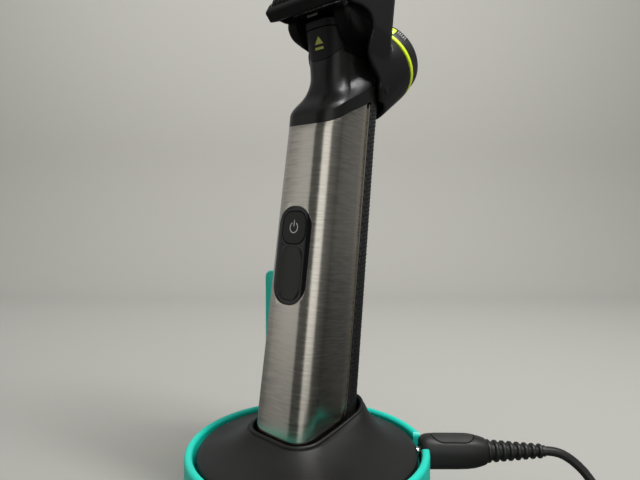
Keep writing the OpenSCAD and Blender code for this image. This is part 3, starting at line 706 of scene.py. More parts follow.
LIME = Finish("lime dial ring", (0.72, 0.92, 0.012), (0.3, 0.4), shift=0.05, depth=0.00001)
STEEL = Finish("ground steel", (0.55, 0.55, 0.56), (0.22, 0.34), metal=1.0, grain=5200.0, depth=0.000008)
GOLD = Finish("gilt contact", (0.83, 0.62, 0.22), (0.2, 0.3), metal=1.0, depth=0.0)
BOARD = Finish("green board", (0.012, 0.11, 0.035), (0.35, 0.5))
INNER = Finish("pale inner frame", (0.42, 0.42, 0.39), (0.45, 0.6))
CELL = Finish("blue cell wrap", (0.03, 0.13, 0.42), (0.2, 0.3), depth=0.0)
LEAD = Finish("black lead", (0.018, 0.018, 0.017), (0.38, 0.5), grain=3800.0, depth=0.00002, specular=0.4)

NODE_FINISH: dict[str, Finish] = {
    "holder": PRINT, "stand_shell": STAND, "stand_base": STAND, "stand_feet": RUBBER,
    "stand_screws": STEEL, "contact_block": SATIN, "contact_pins": GOLD, "stand_board": BOARD,
    "inlet_socket": SATIN, "handle_sleeve": SLEEVE, "grip_back": GRIP, "chassis": INNER, "end_cap": SATIN,
    "charge_contacts": GOLD, "cell": CELL, "main_board": BOARD, "button_switch": STEEL, "motor": STEEL,
    "grip_screws": STEEL, "button_panel": GLOSS, "display_window": LENS, "neck_housing": SATIN,
    "power_button": BUTTON, "release_slider": COMB, "drive_shaft": STEEL, "blade_carrier": CARRIER_SHADE,
    "guard_plate": STEEL, "cutter": STEEL, "comb_cradle": COMB, "comb_frame": COMB, "comb_teeth": COMB,
    "length_wheel": SATIN, "dial_ring": LIME, "wheel_spindle": STEEL, "plug_body": LEAD,
    "plug_grip": RUBBER, "plug_tip": BRIGHT, "strain_relief": LEAD, "cord": LEAD, "cord_coil": LEAD,
    "coil_tie": RUBBER, "adapter_body": LEAD, "adapter_relief": LEAD, "adapter_pins": BRIGHT,
}


# Camera, light and floor


@dataclass(frozen=True)
class Lamp:
    """One soft lamp of the studio.

    Attributes:
        name: Its name.
        at: Where it hangs.
        to: What it points to.
        size: Its width and height.
        power: Its power, in watts.
        seen: Whether glossy pieces mirror it.
    """

    name: str
    at: Point
    to: Point
    size: Flat
    power: float
    seen: bool = False

    def hang(self) -> None:
        """Hang the lamp in the scene."""
        data = bpy.data.lights.new(self.name, "AREA")
        data.shape, data.size, data.size_y = "RECTANGLE", self.size[0], self.size[1]
        data.energy = self.power
        lamp = bpy.data.objects.new(self.name, data)
        lamp.location = self.at
        lamp.rotation_euler = (Vector(self.to) - Vector(self.at)).to_track_quat("-Z", "Y").to_euler()
        lamp.visible_glossy = self.seen
        bpy.context.scene.collection.objects.link(lamp)


@dataclass
class Studio:
    """The camera at the photograph's view, soft lamps and a pale floor, in metres.

    Attributes:
        eye: Where the camera stands.
        down: How far it looks down, in degrees.
        lens: Focal length for the sensor, in millimetres.
        sensor: Width of the sensor, in millimetres.
        lamps: The lamps.
        bands: Greys round the horizon, from the left over the front to the back, as glossy pieces mirror
            them: a pale card at the left and one in front, with dark room between them.
        air: The plain colour that lights all the rest.
        sky: How light it is, from below to above.
        front: Where the floor starts, before the object.
        back: Where it begins to curve up.
        bend: Radius of that curve.
        wall: Height of the wall behind it.
        wide: Half of its width.
        drop: How far the floor lies under the object, so that the two never touch.
        paint: Colour of the floor and the wall.
    """

    eye: Point = (0.00471, -0.19264, 0.11526)
    down: float = 2.26
    lens: float = 28.69
    sensor: float = 36.0
    lamps: tuple[Lamp, ...] = (
        Lamp("key", (0.25, -0.25, 0.85), (0.0, 0.0, 0.1), (0.6, 0.6), 1.1, seen=True),
        Lamp("wall wash", (0.0, 0.2, 0.75), (0.0, 0.9, 0.45), (1.4, 0.4), 5.4),
        Lamp("ceiling strip", (0.2, -0.1, 0.6), (0.0, 0.0, 0.15), (0.07, 0.45), 3.0, seen=True),
    )
    bands: tuple[Flat, ...] = (
        (0.0, 0.8), (0.04, 0.74), (0.06, 0.14), (0.19, 0.14), (0.22, 1.45), (0.3, 1.35), (0.335, 0.2),
        (0.5, 0.12), (0.54, 0.27), (0.9, 0.42),
    )
    air: Point = (0.42, 0.415, 0.39)
    sky: tuple[Flat, ...] = ((0.0, 0.2), (0.35, 0.36), (0.42, 0.55), (0.49, 1.0), (0.62, 1.0), (0.85, 0.65))
    front: float = -2.0
    back: float = 0.55
    bend: float = 0.25
    wall: float = 2.6
    wide: float = 3.0
    drop: float = 0.0002
    paint: Point = (0.44, 0.432, 0.405)

    def camera(self) -> None:
        """Stand the camera."""
        data = bpy.data.cameras.new("camera")
        data.lens, data.sensor_width = self.lens, self.sensor
        data.clip_start, data.clip_end = 0.01, 20.0
        stand = bpy.data.objects.new("camera", data)
        stand.location = self.eye
        stand.rotation_euler = (math.radians(90 - self.down), 0.0, 0.0)
        bpy.context.scene.collection.objects.link(stand)
        bpy.context.scene.camera = stand

    def floor(self) -> None:
        """Lay a pale floor that curves up into a wall behind the object."""
        bend, back = self.bend, self.back
        curve = [
            (back + bend * math.sin(math.radians(a)), bend - bend * math.cos(math.radians(a)))
            for a in range(0, 91, 6)
        ]
        line = [(self.front, 0.0), *curve, (back + bend, self.wall)]
        points = [(x, y, z - self.drop) for x in (-self.wide, self.wide) for y, z in line]
        count = len(line)
        faces = [(i, i + count, i + count + 1, i + 1) for i in range(count - 1)]
        piece = mesh_piece("floor", points, faces)
        paint = bpy.data.materials.new("pale floor")
        paint.use_nodes = True
        shader = paint.node_tree.nodes["Principled BSDF"]
        shader.inputs["Base Color"].default_value = (*self.paint, 1.0)
        shader.inputs["Roughness"].default_value = 0.85
        piece.data.materials.append(paint)
        pick(piece)
        bpy.ops.object.shade_smooth()
        deselect()
        piece.visible_glossy = False

    def world(self) -> None:
        """Give a plain surrounding light, with two soft pale cards that the metal mirrors."""
        world = bpy.data.worlds.new("studio")
        bpy.context.scene.world = world
        world.use_nodes = True
        nodes, links = world.node_tree.nodes, world.node_tree.links
        place, apart = nodes.new("ShaderNodeTexCoord"), nodes.new("ShaderNodeSeparateXYZ")
        links.new(place.outputs["Generated"], apart.inputs["Vector"])
        turn = nodes.new("ShaderNodeMath")
        turn.operation = "ARCTAN2"
        links.new(apart.outputs["Y"], turn.inputs[0])
        links.new(apart.outputs["X"], turn.inputs[1])
        round_it = self.ramp(nodes, self.bands, (-math.pi, math.pi), turn.outputs[0])
        up_it = self.ramp(nodes, self.sky, (-1.0, 1.0), apart.outputs["Z"])
        seen = nodes.new("ShaderNodeLightPath")
        kind = nodes.new("ShaderNodeMix")
        kind.data_type = "RGBA"
        kind.inputs["A"].default_value = (*self.air, 1.0)
        links.new(seen.outputs["Is Glossy Ray"], kind.inputs["Factor"])
        links.new(round_it, kind.inputs["B"])
        both = nodes.new("ShaderNodeMix")
        both.data_type, both.blend_type = "RGBA", "MULTIPLY"
        both.inputs["Factor"].default_value = 1.0
        links.new(kind.outputs["Result"], both.inputs["A"])
        links.new(up_it, both.inputs["B"])
        links.new(both.outputs["Result"], nodes["Background"].inputs["Color"])
        bpy.context.scene.view_settings.view_transform = "Standard"

    def ramp(
        self, nodes: bpy.types.Nodes, stops: Sequence[Flat], span: Flat, value: bpy.types.NodeSocket
    ) -> bpy.types.NodeSocket:
        """Read a ramp of greys by a value.

        Args:
            nodes: Where the nodes go.
            stops: Places from 0 to 1 with their greys.
            span: The values at place 0 and at place 1.
            value: The value's socket.

        Returns:
            The socket that gives the grey.
        """
        fit, ramp = nodes.new("ShaderNodeMapRange"), nodes.new("ShaderNodeValToRGB")
        fit.inputs["From Min"].default_value, fit.inputs["From Max"].default_value = span
        band = ramp.color_ramp
        band.interpolation = "EASE"
        while len(band.elements) < len(stops):
            band.elements.new(0.5)
        for element, (at, grey) in zip(band.elements, stops):
            element.position = at
            element.color = (grey, grey, grey, 1.0)
        links = nodes.id_data.links
        links.new(value, fit.inputs["Value"])
        links.new(fit.outputs["Result"], ramp.inputs["Fac"])
        return ramp.outputs["Color"]

    def build(self) -> None:
        """Set the whole studio up."""
        self.camera()
        self.world()
        for lamp in self.lamps:
            lamp.hang()
        self.floor()
        log.info("studio ready")


# The lead


@dataclass
class Lead:
    """The cord with its coil, from the strain relief to the wall adapter.

    Attributes:
        diameter: The cord's diameter.
        route: Points of the free stretch, as in the part's source.
        coil_centre: Middle of the coil.
        coil_radius: Radius of the middle turn.
        turns: How many turns it has.
        layers: How many layers they lie in.
        gap: Distance from turn to turn.
        lift: Room under the coil, where its tie passes.
        climb: The stretch that climbs to the next layer, in turns.
        lead_in: The straight stretch before the coil.
        tail: The straight stretch to the adapter.
        sides: Faces round the cord.
    """

    diameter: float = 3.5
    route: tuple[Point, ...] = (
        (90, 2.3, 25.5), (94, 2.3, 25.4), (98, 2, 24.6), (102, 1.4, 22.4), (106, 0.2, 18.8),
        (109, -1.6, 14.6), (112, -4.4, 10.2), (114.6, -8.6, 6.4), (116.6, -14, 3.9), (118, -20.4, 2.9),
        (118.8, -28, 2.7), (119.2, -36, 2.6),
    )
    coil_centre: Flat = (92.0, -48.0)
    coil_radius: float = 20.5
    turns: float = 13.25
    layers: int = 4
    gap: float = 3.95
    lift: float = 0.8
    climb: float = 0.5
    lead_in: float = 6.0
    tail: float = 18.0
    sides: int = 12

    def coil_points(self, per_turn: int) -> list[Vector]:
        """Points of the coil, which spirals in and out in its layers.

        Args:
            per_turn: Points on each turn.

        Returns:
            The points, from the free stretch's end to the adapter.
        """
        share = self.turns / self.layers
        low = self.diameter / 2 + self.lift
        x, y = self.coil_centre
        out = []
        for i in range(round(self.turns * per_turn) + 1):
            s = i / per_turn
            layer = min(int(s / share), self.layers - 1)
            drift = (share / 2 - (s - layer * share)) * self.gap
            r = self.coil_radius + (drift if layer % 2 == 0 else -drift)
            near = round(s / share)
            off = (s - near * share) / self.climb
            climbs = 0 < near < self.layers and abs(off) < 0.5
            height = near - 0.5 + off if climbs else float(layer)
            a = -2 * math.pi * s
            out.append(Vector((x + r * math.cos(a), y + r * math.sin(a), low + height * self.gap)))
        return [out[0] + Vector((0, self.lead_in, 0)), *out, out[-1] - Vector((self.tail, 0, 0))]

    def build(self) -> None:
        coil = self.coil_points(36)
        free = smooth_path([*self.route, coil[0]], 1.6)
        path = free[:-1] + coil
        length = sum((b - a).length for a, b in zip(path, path[1:]))
        cord = tube("lead_cord", path, self.diameter / 2, self.sides)
        put(cord, "lead", [LEAD], stands_for=["cord", "cord_coil"], angle=80)
        tuple(c * MM for c in path[0])
        [tuple(c * MM for c in p) for p in path]
        log.info("cord length %.0f mm", length)


# The handle


@dataclass
class HandleForm:
    """The handle's outer form, a rounded rectangle that narrows upwards.

    Attributes:
        foot: Half width and half depth at the foot.
        top: Half width and half depth at the neck.
        low: Height of the foot.
        high: Height where the narrowing ends.
        corner: Corner radius.
        crown: How far the flat sides swell out.
        flat: Stretches longer than this swell.
        seam: Where the sleeve meets the grip, behind the axis.
    """

    foot: Flat = (14.6, 18.1)
    top: Flat = (12.8, 16.4)
    low: float = -16.0
    high: float = 120.0
    corner: float = 8.0
    crown: float = 0.12
    flat: float = 3.0
    seam: float = 6.5

    def half(self, t: float) -> Flat:
        """Half width and half depth at a height."""
        u = min(1.0, (t - self.low) / (self.high - self.low))
        return (
            self.foot[0] + (self.top[0] - self.foot[0]) * u,
            self.foot[1] + (self.top[1] - self.foot[1]) * u,
        )

    def outline(self, t: float, inset: float = 0.0) -> list[Flat]:
        """The whole outline at a height, turning left from the right side's middle."""
        (w, d), r = (half - inset for half in self.half(t)), self.corner - inset
        return self.rounded(w, w, d, d, r, r)

    def rounded(
        self, wf: float, wb: float, yf: float, yb: float, rf: float, rb: float, steps: int = 14
    ) -> list[Flat]:
        """A rounded rectangle whose front and back halves may differ.

        Args:
            wf: Half width in front.
            wb: Half width at the back.
            yf: Reach to the front.
            yb: Reach to the back.
            rf: Corner radius in front.
            rb: Corner radius at the back.
            steps: Faces on each corner.

        Returns:
            The outline, turning left from the right side.
        """
        line = (
            arc(wb - rb, yb - rb, rb, 0, 90, steps)
            + arc(rb - wb, yb - rb, rb, 90, 180, steps)
            + arc(rf - wf, rf - yf, rf, 180, 270, steps)
            + arc(wf - rf, rf - yf, rf, 270, 360, steps)
        )
        out: list[Flat] = []
        for (x0, y0), (x1, y1) in zip(line, line[1:] + line[:1]):
            out.append((x0, y0))
            far = math.hypot(x1 - x0, y1 - y0)
            if far > self.flat:
                nx, ny = (y1 - y0) / far, (x0 - x1) / far
                for k in range(1, 8):
                    u = k / 8
                    swell = self.crown * 4 * u * (1 - u)
                    out.append((x0 + (x1 - x0) * u + nx * swell, y0 + (y1 - y0) * u + ny * swell))
        return out

    def solid(self, name: str, low: float, high: float, inset: float, rows: int) -> bpy.types.Object:
        """Make a solid of the form between two heights.

        Args:
            name: The object's name.
            low: Where it starts.
            high: Where it ends.
            inset: How deep it lies under the form.
            rows: Rows of faces.

        Returns:
            The solid.
        """
        rings = []
        for i in range(rows + 1):
            t = low + (high - low) * i / rows
            rings.append([(x, y, t) for x, y in self.outline(t, inset)])
        return skin(name, rings)

    def front(self, x: float, t: float) -> float:
        """Depth of the front face at a place on it."""
        w, d = self.half(t)
        return -d - self.crown * max(0.0, 1 - (x / (w - self.corner)) ** 2)


@dataclass
class NeckForm:
    """The neck's outer form, above a slanted crease in the handle's form.

    Attributes:
        rows: Height, half width front and back, reach front and back, corner radius front and back.
        crease: Depth and height of the crease.
        rise: Height over which the form bends in above the crease.
    """

    rows: tuple[tuple[float, ...], ...] = (
        (124, 12.8, 12.8, 16.3, 16.3, 8, 8),
        (131, 11.5, 12.8, 12.2, 15.8, 8, 8),
        (136, 10.0, 12.6, 10.7, 15.6, 8, 8),
        (140, 9.1, 12.1, 10.3, 15.4, 7.5, 8),
        (144.5, 8.9, 11.3, 10.8, 15, 6.8, 7.5),
        (150, 8.8, 10.3, 11.6, 14, 6, 6.5),
        (156, 9, 9.6, 13.4, 12.8, 5.5, 5),
        (162, 9.4, 9, 15.5, 12.4, 5.5, 5),
    )
    crease: tuple[tuple[float, float], ...] = (
        (-30, 123), (-16.5, 123.4), (-13, 125.8), (-9, 129), (-3, 133), (4, 138), (7, 141), (16, 147),
    )
    rise: float = 10.0

    def outline(self, t: float) -> list[Flat]:
        """Find the outline at a height, below and above the crease.

        Args:
            t: The height.

        Returns:
            The outline, point by point as the handle's own.
        """
        full, waist = FORM.outline(t), FORM.rounded(*stepped(self.rows, t))
        out = []
        for (fx, fy), (wx, wy) in zip(full, waist):
            u = min(1.0, max(0.0, (t - stepped(self.crease, fy)[0]) / self.rise))
            share = 1 - (1 - u) ** 2
            out.append((fx + (wx - fx) * share, fy + (wy - fy) * share))
        return out

    def front(self, x: float, t: float) -> float:
        """Depth of the front face at a place on it."""
        row = stepped(self.rows, t)
        return -row[2] - FORM.crown * max(0.0, 1 - (x / (row[0] - row[4])) ** 2)


FORM = HandleForm()
NECK = NeckForm()
EDGE = (
    (-30.0, 119.6), (-17.0, 119.9), (-14.0, 120.9), (-10.0, 123.2), (-6.2, 125.7), (4.3, 131.9),
    (30.0, 147.0),
)
PRINT_THICK, PRINT_ROOT = 0.04, 0.02


def edge_height(y: float) -> float:
    """Height of the sleeve's slanted top edge at a depth."""
    return stepped(EDGE, y)[0]


def strip(xs: Sequence[float], low: Callable[[float], float], high: Callable[[float], float]) -> list[Flat]:
    """Outline between two lines over the same xs, turning left."""
    return [(x, low(x)) for x in xs] + [(x, high(x)) for x in reversed(xs)]


def printed(
    name: str, outlines: Sequence[Sequence[Flat]], front: Callable[[float, float], float]
) -> bpy.types.Object:
    """Lay thin printed marks on a front face.

    Args:
        name: The object's name.
        outlines: Outlines in x and height, each filled.
        front: Gives the face's depth at an x and a height.

    Returns:
        The marks as one piece.
    """
    points: list[Point] = []
    faces: list[list[int]] = []
    for line in outlines:
        base, count = len(points), len(line)
        for lift in (PRINT_ROOT, -PRINT_THICK):
            points += [(x, front(x, t) + lift, t) for x, t in line]
        for start in (base, base + count):
            faces += [
                [start + i, start + i + 1, start + count - 2 - i, start + count - 1 - i]
                for i in range(count // 2 - 1)
            ]
        for i in range(count):
            here, after = base + i, base + (i + 1) % count
            faces.append([here, after, after + count, here + count])
    piece = mesh_piece(name, points, faces)
    outward(piece)
    return piece


@dataclass
class Sleeve:
    """The brushed metal sleeve, its dark panel, the button and the window.

    Attributes:
        low: Height of its lower edge.
        wall: Thickness of the metal.
        panel: Width, low end, high end and corner radius of the panel.
        button: The same of the button.
        window: The same of the display window.
        sink: How deep the panel lies.
        panel_back: Depth where the panel ends.
        button_back: Depth where the button ends.
        window_sink: How deep the window's seat lies under the form.
        level: Height in the panel's reach at which the form is read.
        sign: Outer and inner radius of the power sign's ring.
        rows: Rows of faces along the metal.
        start: Depth where the blocks start, before every face.
    """

    low: float = -6.0
    wall: float = 0.9
    panel: tuple[float, float, float, float] = (16.6, 52.3, 89.1, 7.6)
    button: tuple[float, float, float, float] = (11.6, 75.1, 87.1, 4.1)
    window: tuple[float, float, float, float] = (11.4, 53.9, 74.2, 4.6)
    sink: float = 0.12
    panel_back: float = -9.6
    button_back: float = -12.6
    window_sink: float = 1.8
    level: float = 60.0
    sign: Flat = (2.15, 1.75)
    rows: int = 48
    start: float = -30.0

    def columns(self) -> list[int]:
        """Find the outline's points in front of the seam.

        Returns:
            Their numbers, from right to left.
        """
        line = FORM.outline(self.level)
        count = len(line)
        front = [i for i in range(count) if line[i][1] < FORM.seam - 0.3]
        first = next(i for i in front if (i - 1) % count not in front)
        return [(first + k) % count for k in range(len(front))]

    def metal(self) -> None:
        """Bend the sheet round the handle, cut the panel's opening and brighten its edges."""
        picked, top = self.columns(), FORM.outline(FORM.high)
        rings = []
        for i in range(self.rows + 1):
            ring = []
            for index in picked:
                t = self.low + (edge_height(top[index][1]) - self.low) * i / self.rows
                x, y = FORM.outline(t)[index]
                ring.append((x, y, t))
            w, _ = FORM.half(ring[0][2])
            ring.insert(0, (w, FORM.seam, ring[0][2] + 0.3 * i / self.rows))
            ring.append((-w, FORM.seam, ring[-1][2] + 0.3 * i / self.rows))
            rings.append(ring)
        piece = skin("sleeve", rings, closed=False, caps=False)
        edit_all(piece, lambda: bpy.ops.mesh.normals_make_consistent(inside=False))
        first = piece.data.polygons[0]
        if first.normal.dot(Vector((first.center.x, first.center.y, 0))) < 0:
            piece.data.flip_normals()
        finish_modifier(piece, "SOLIDIFY", thickness=self.wall, offset=-1.0)
        cut(piece, self.opening(self.panel, 0.1, 0.0))
        piece.data.materials.append(SLEEVE.material())
        piece.data.materials.append(BRIGHT.material())
        soften(piece, 0.36, slot=1)
        put(piece, "shaver", [SLEEVE, BRIGHT], SHAVER_POSE, 30.0, ["handle_sleeve"])

    def opening(self, size: tuple[float, float, float, float], gap: float, back: float) -> bpy.types.Object:
        """Make a tool that cuts a rounded opening.

        Args:
            size: Width, low end, high end and corner radius of what lies in it.
            gap: How much larger the opening is, all round.
            back: Depth where it ends.

        Returns:
            The tool.
        """
        w, low, high, r = size
        line = pill(w + 2 * gap, low - gap, high + gap, r + gap, 16)
        return solid_outline("hole", line, -FAR, back, along_y)

    def front_block(
        self, name: str, size: tuple[float, float, float, float], inset: float, back: float
    ) -> bpy.types.Object:
        """A rounded block whose front follows the handle.

        Args:
            name: The piece's name.
            size: Width, low end, high end and corner radius.
            inset: How deep its front lies.
            back: Where it ends at the back.

        Returns:
            The block.
        """
        w, low, high, r = size
        piece = solid_outline(name, pill(w, low, high, r, 16), self.start, back, along_y)
        return cut(piece, FORM.solid("form", low - 4, high + 4, inset, 12), "INTERSECT")

    def dark_panel(self) -> None:
        """Build the panel with its hole, the button, the window and the print."""
        panel = self.front_block("button_panel_face", self.panel, self.sink, self.panel_back)
        depth = -FORM.half(self.level)[1] + self.window_sink
        cut(panel, self.opening(self.button, 0.35, 0.0))
        cut(panel, self.opening(self.window, 0.05, depth))
        soften(panel, 0.3, 3)
        put(panel, "shaver", [GLOSS], SHAVER_POSE, 30.0, ["button_panel"])
        window = self.front_block("display_lens", self.window, self.sink - 0.02, depth - 0.05)
        soften(window, 0.1, 2)
        put(window, "shaver", [LENS], SHAVER_POSE, 30.0, ["display_window"])
        button = self.front_block("power_button_cap", self.button, self.sink - 0.05, self.button_back)
        soften(button, 0.5, 4)
        put(button, "power_button", [BUTTON], SHAVER_POSE, 30.0, ["power_button"])
        middle = (self.button[1] + self.button[2]) / 2
        outer, inner = self.sign
        line = arc(0, 0, outer, 122, 418, 40) + arc(0, 0, inner, 418, 122, 40)
        ring = [(x, h + middle) for x, h in line]
        stroke = [(x, h + middle) for x, h in ((-0.2, 0.4), (0.2, 0.4), (0.2, 2.8), (-0.2, 2.8))]
        sign = printed("power_sign", [ring, stroke], lambda x, t: FORM.front(x, t) + self.sink - 0.05)
        put(sign, "power_button", [MARK], SHAVER_POSE)

    def build(self) -> None:
        """Build the sleeve and what lies in it."""
        self.metal()
        self.dark_panel()


@dataclass
class Neck:
    """The black neck with its release slider, and the ribbed grip at the back.

    Attributes:
        gap: Gap between neighbours.
        top: Height where the neck ends.
        back_top: Height where the neck's back ends.
        spine: Sides, depths and heights of the spine that carries the head.
        bore: Radius of the bore for the drive shaft.
        bore_at: Depth of the bore's middle.
        slider_front: Height of the slider's lower edge in the middle.
        slider_top: Height of its upper edge.
        slider_back: Depth where the slider ends.
        pitch: Distance between two ribs of the grip.
        rib: Depth of the ribs.
        slant: How far a rib drops for each millimetre round the handle.
        grip_wall: Thickness of the grip.
        grip_front: Depth where the grip starts, just behind the sleeve.
        grip_low: Height of the grip's lower edge.
        grip_rows: Rows of faces along the grip.
        grip_columns: Faces across it.
    """

    gap: float = 0.15
    top: float = 161.0
    back_top: float = 149.6
    spine: tuple[Flat, Flat, Flat] = ((-5.8, 5.8), (-7.6, 6.3), (145, 161))
    bore: float = 3.7
    bore_at: float = 2.0
    slider_front: float = 146.0
    slider_top: float = 160.4
    slider_back: float = -7.9
    pitch: float = 3.2
    rib: float = 0.6
    slant: float = 1.5
    grip_wall: float = 1.7
    grip_front: float = 6.65
    grip_low: float = -6.0
    grip_rows: int = 400
    grip_columns: int = 44

    def form(self, name: str, low: Callable[[float], float], high: float, rows: int) -> bpy.types.Object:
        """The neck's form as a solid whose lower edge follows a line.

        Args:
            name: The object's name.
            low: Gives the lower edge's height at a depth.
            high: Height of the upper edge.
            rows: Rows of faces.

        Returns:
            The solid.
        """
        below = 6
        starts = [(low(y), stepped(NECK.crease, y)[0]) for _, y in FORM.outline(124.0)]
        rings = []
        for i in range(rows + 1):
            ring = []
            for k, (start, crease) in enumerate(starts):
                if start >= crease:
                    t = start + (high - start) * i / rows
                elif i < below:
                    t = start + (crease - start) * i / below
                else:
                    t = crease + (high - crease) * (i - below) / (rows - below)
                x, y = NECK.outline(t)[k]
                ring.append((x, y, t))
            rings.append(ring)
        return skin(name, rings)

    def slider_room(self, name: str, room: float) -> bpy.types.Object:
        """The slider's place, with a lower edge that rises to the sides and the back.

        Args:
            name: The object's name.
            room: How much larger it is than the slider.

        Returns:
            The place as a solid.
        """
        xs = [i * 0.75 for i in range(-22, 23)]
        high = self.slider_top + 6 * room
        rings = []
        for y in (-26.0, -11.4, -10.5, -9.6, -8.7, self.slider_back + room):
            back = max(0.0, y + 11.4)
            line = [(x, y, self.slider_front - room + 0.026 * x * x + 0.9 * back) for x in xs]
            rings.append([*line, (xs[-1], y, high), (xs[0], y, high)])
        return skin(name, rings)

    def housing(self) -> None:
        """Build the neck, cut for the slider, the grip and the head."""
        neck = self.form("neck_shell", lambda y: edge_height(y) + self.gap, self.top, 56)
        cut(neck, box("room", (-FAR, FAR), (self.slider_back + 0.3, FAR), (self.back_top, 190)))
        cut(neck, box("room", (-FAR, FAR), (FORM.seam, FAR), (90, 190)))
        cut(neck, self.slider_room("room", 0.25))
        cut(neck, box("spine", *self.spine), "UNION")
        cut(neck, placed(drum("bore", self.bore, 100, 180), Matrix.Translation((0, self.bore_at, 0))))
        soften(neck, 0.15, 2)
        put(neck, "shaver", [SATIN], SHAVER_POSE, 13.0, ["neck_housing"])

    def slider(self) -> None:
        """Build the release slider with its generic eject sign."""
        slider = self.form("release_slider_shell", lambda y: 140.0, self.slider_top, 40)
        cut(slider, self.slider_room("room", 0.0), "INTERSECT")
        cut(slider, box("step", (-FAR, FAR), (-FAR, -10.6), (157.6, 158.0)))
        soften(slider, 0.3, 3)
        put(slider, "release", [COMB], SHAVER_POSE, 30.0, ["release_slider"])
        xs = [i * 0.3 - 2.1 for i in range(15)]
        arrow = strip(xs, lambda x: 152.2, lambda x: 152.25 + 2.65 * (1 - abs(x) / 2.1))
        bar = strip(xs, lambda x: 150.25, lambda x: 151.15)
        sign = printed("eject_sign", [arrow, bar], NECK.front)
        put(sign, "release", [OLIVE], SHAVER_POSE)

    def grip(self) -> None:
        """Build the grip, whose slanted ribs run back from both seams."""
        count, low, high = self.grip_columns, self.grip_low, self.back_top
        rings = []
        for i in range(self.grip_rows + 1):
            t = low + (high - low) * i / self.grip_rows
            line = self.back_line(t, count)
            total = sum(math.dist(a, b) for a, b in zip(line, line[1:]))
            ends = min(1.0, (t - low) / 2, (high - t) / 2)
            walked, ring = 0.0, []
            for k, (x, y) in enumerate(line):
                if k:
                    walked += math.dist(line[k - 1], (x, y))
                edge = min(walked, total - walked)
                wave = 0.5 - 0.5 * math.cos(2 * math.pi * (t + self.slant * edge) / self.pitch)
                sink = self.rib * (1 - wave**0.6) * ends * min(1.0, edge / 0.5)
                nx, ny = self.inward(line, k)
                ring.append((x + nx * sink, y + ny * sink, t))
            for k in range(count, -1, -4):
                (x, y), (nx, ny) = line[k], self.inward(line, k)
                ring.append((x + nx * self.grip_wall, max(y + ny * self.grip_wall, self.grip_front), t))
            rings.append(ring)
        piece = skin("grip_shell", rings)
        put(piece, "shaver", [GRIP], SHAVER_POSE, 50.0, ["grip_back"])

    def back_line(self, t: float, count: int) -> list[Flat]:
        """Step evenly along the outline behind the seam.

        Args:
            t: The height.
            count: Steps from side to side.

        Returns:
            The points, from the right side to the left.
        """
        outline, y = NECK.outline(t), self.grip_front
        back = [p for p in outline if p[1] > y]
        start = max(range(len(back)), key=lambda i: back[i][0] - 0.2 * back[i][1])
        back = [p for p in back[start:] + back[:start] if p[1] > y + 0.05]
        line = [(self.side_at(outline, y, 1), y), *back, (self.side_at(outline, y, -1), y)]
        total = sum(math.dist(a, b) for a, b in zip(line, line[1:]))
        out, walked, i = [line[0]], 0.0, 0
        for k in range(1, count):
            goal = total * k / count
            while walked + math.dist(line[i], line[i + 1]) < goal:
                walked += math.dist(line[i], line[i + 1])
                i += 1
            (x0, y0), (x1, y1) = line[i], line[i + 1]
            u = (goal - walked) / math.dist(line[i], line[i + 1])
            out.append((x0 + (x1 - x0) * u, y0 + (y1 - y0) * u))
        return [*out, line[-1]]

    def side_at(self, outline: Sequence[Flat], y: float, side: int) -> float:
        """Find the outline's x on one side at a depth.

        Args:
            outline: The outline's points.
            y: The depth.
            side: 1 for the right side, -1 for the left.

        Returns:
            The x.
        """
        for (x0, y0), (x1, y1) in zip(outline, list(outline[1:]) + [outline[0]]):
            if x0 * side > 0 and x1 * side > 0 and min(y0, y1) <= y < max(y0, y1):
                return x0 + (x1 - x0) * (y - y0) / (y1 - y0)
        raise ValueError(f"the outline does not reach {y}")

    def inward(self, line: Sequence[Flat], k: int) -> Flat:
        """Find the way into the handle at a point of the back line.

        Args:
            line: The back line.
            k: The point's number.

        Returns:
            The unit normal.
        """
        (x0, y0), (x1, y1) = line[max(k - 1, 0)], line[min(k + 1, len(line) - 1)]
        far = math.hypot(x1 - x0, y1 - y0)
        return (-(y1 - y0) / far, (x1 - x0) / far)

    def build(self) -> None:
        """Build the neck, the slider and the grip."""
        self.housing()
        self.slider()
        self.grip()


# Head and comb


UNDER, OVER = 100.0, 230.0  # Heights past both ends of the comb, for cutting tools
WHEEL_AT = Matrix.Translation((0, 24.0, 154.6)) @ turned("X", -44.0)
BLADE_AT = Matrix.Translation((0, -8.0, 169.6)) @ turned("X", 33.0)


def melt(piece: bpy.types.Object, voxel: float, rounds: int, faces: int) -> None:
    """Melt joined solids into one skin with soft inner and outer corners.

    Args:
        piece: The piece that is changed.
        voxel: Size of the grid.
        rounds: Rounds of smoothing.
        faces: About how many triangles are left.
    """
    finish_modifier(piece, "REMESH", mode="VOXEL", voxel_size=voxel)
    finish_modifier(piece, "SMOOTH", factor=0.5, iterations=rounds)
    count = len(piece.data.polygons) * 2
    if count > faces:
        finish_modifier(piece, "DECIMATE", ratio=faces / count)


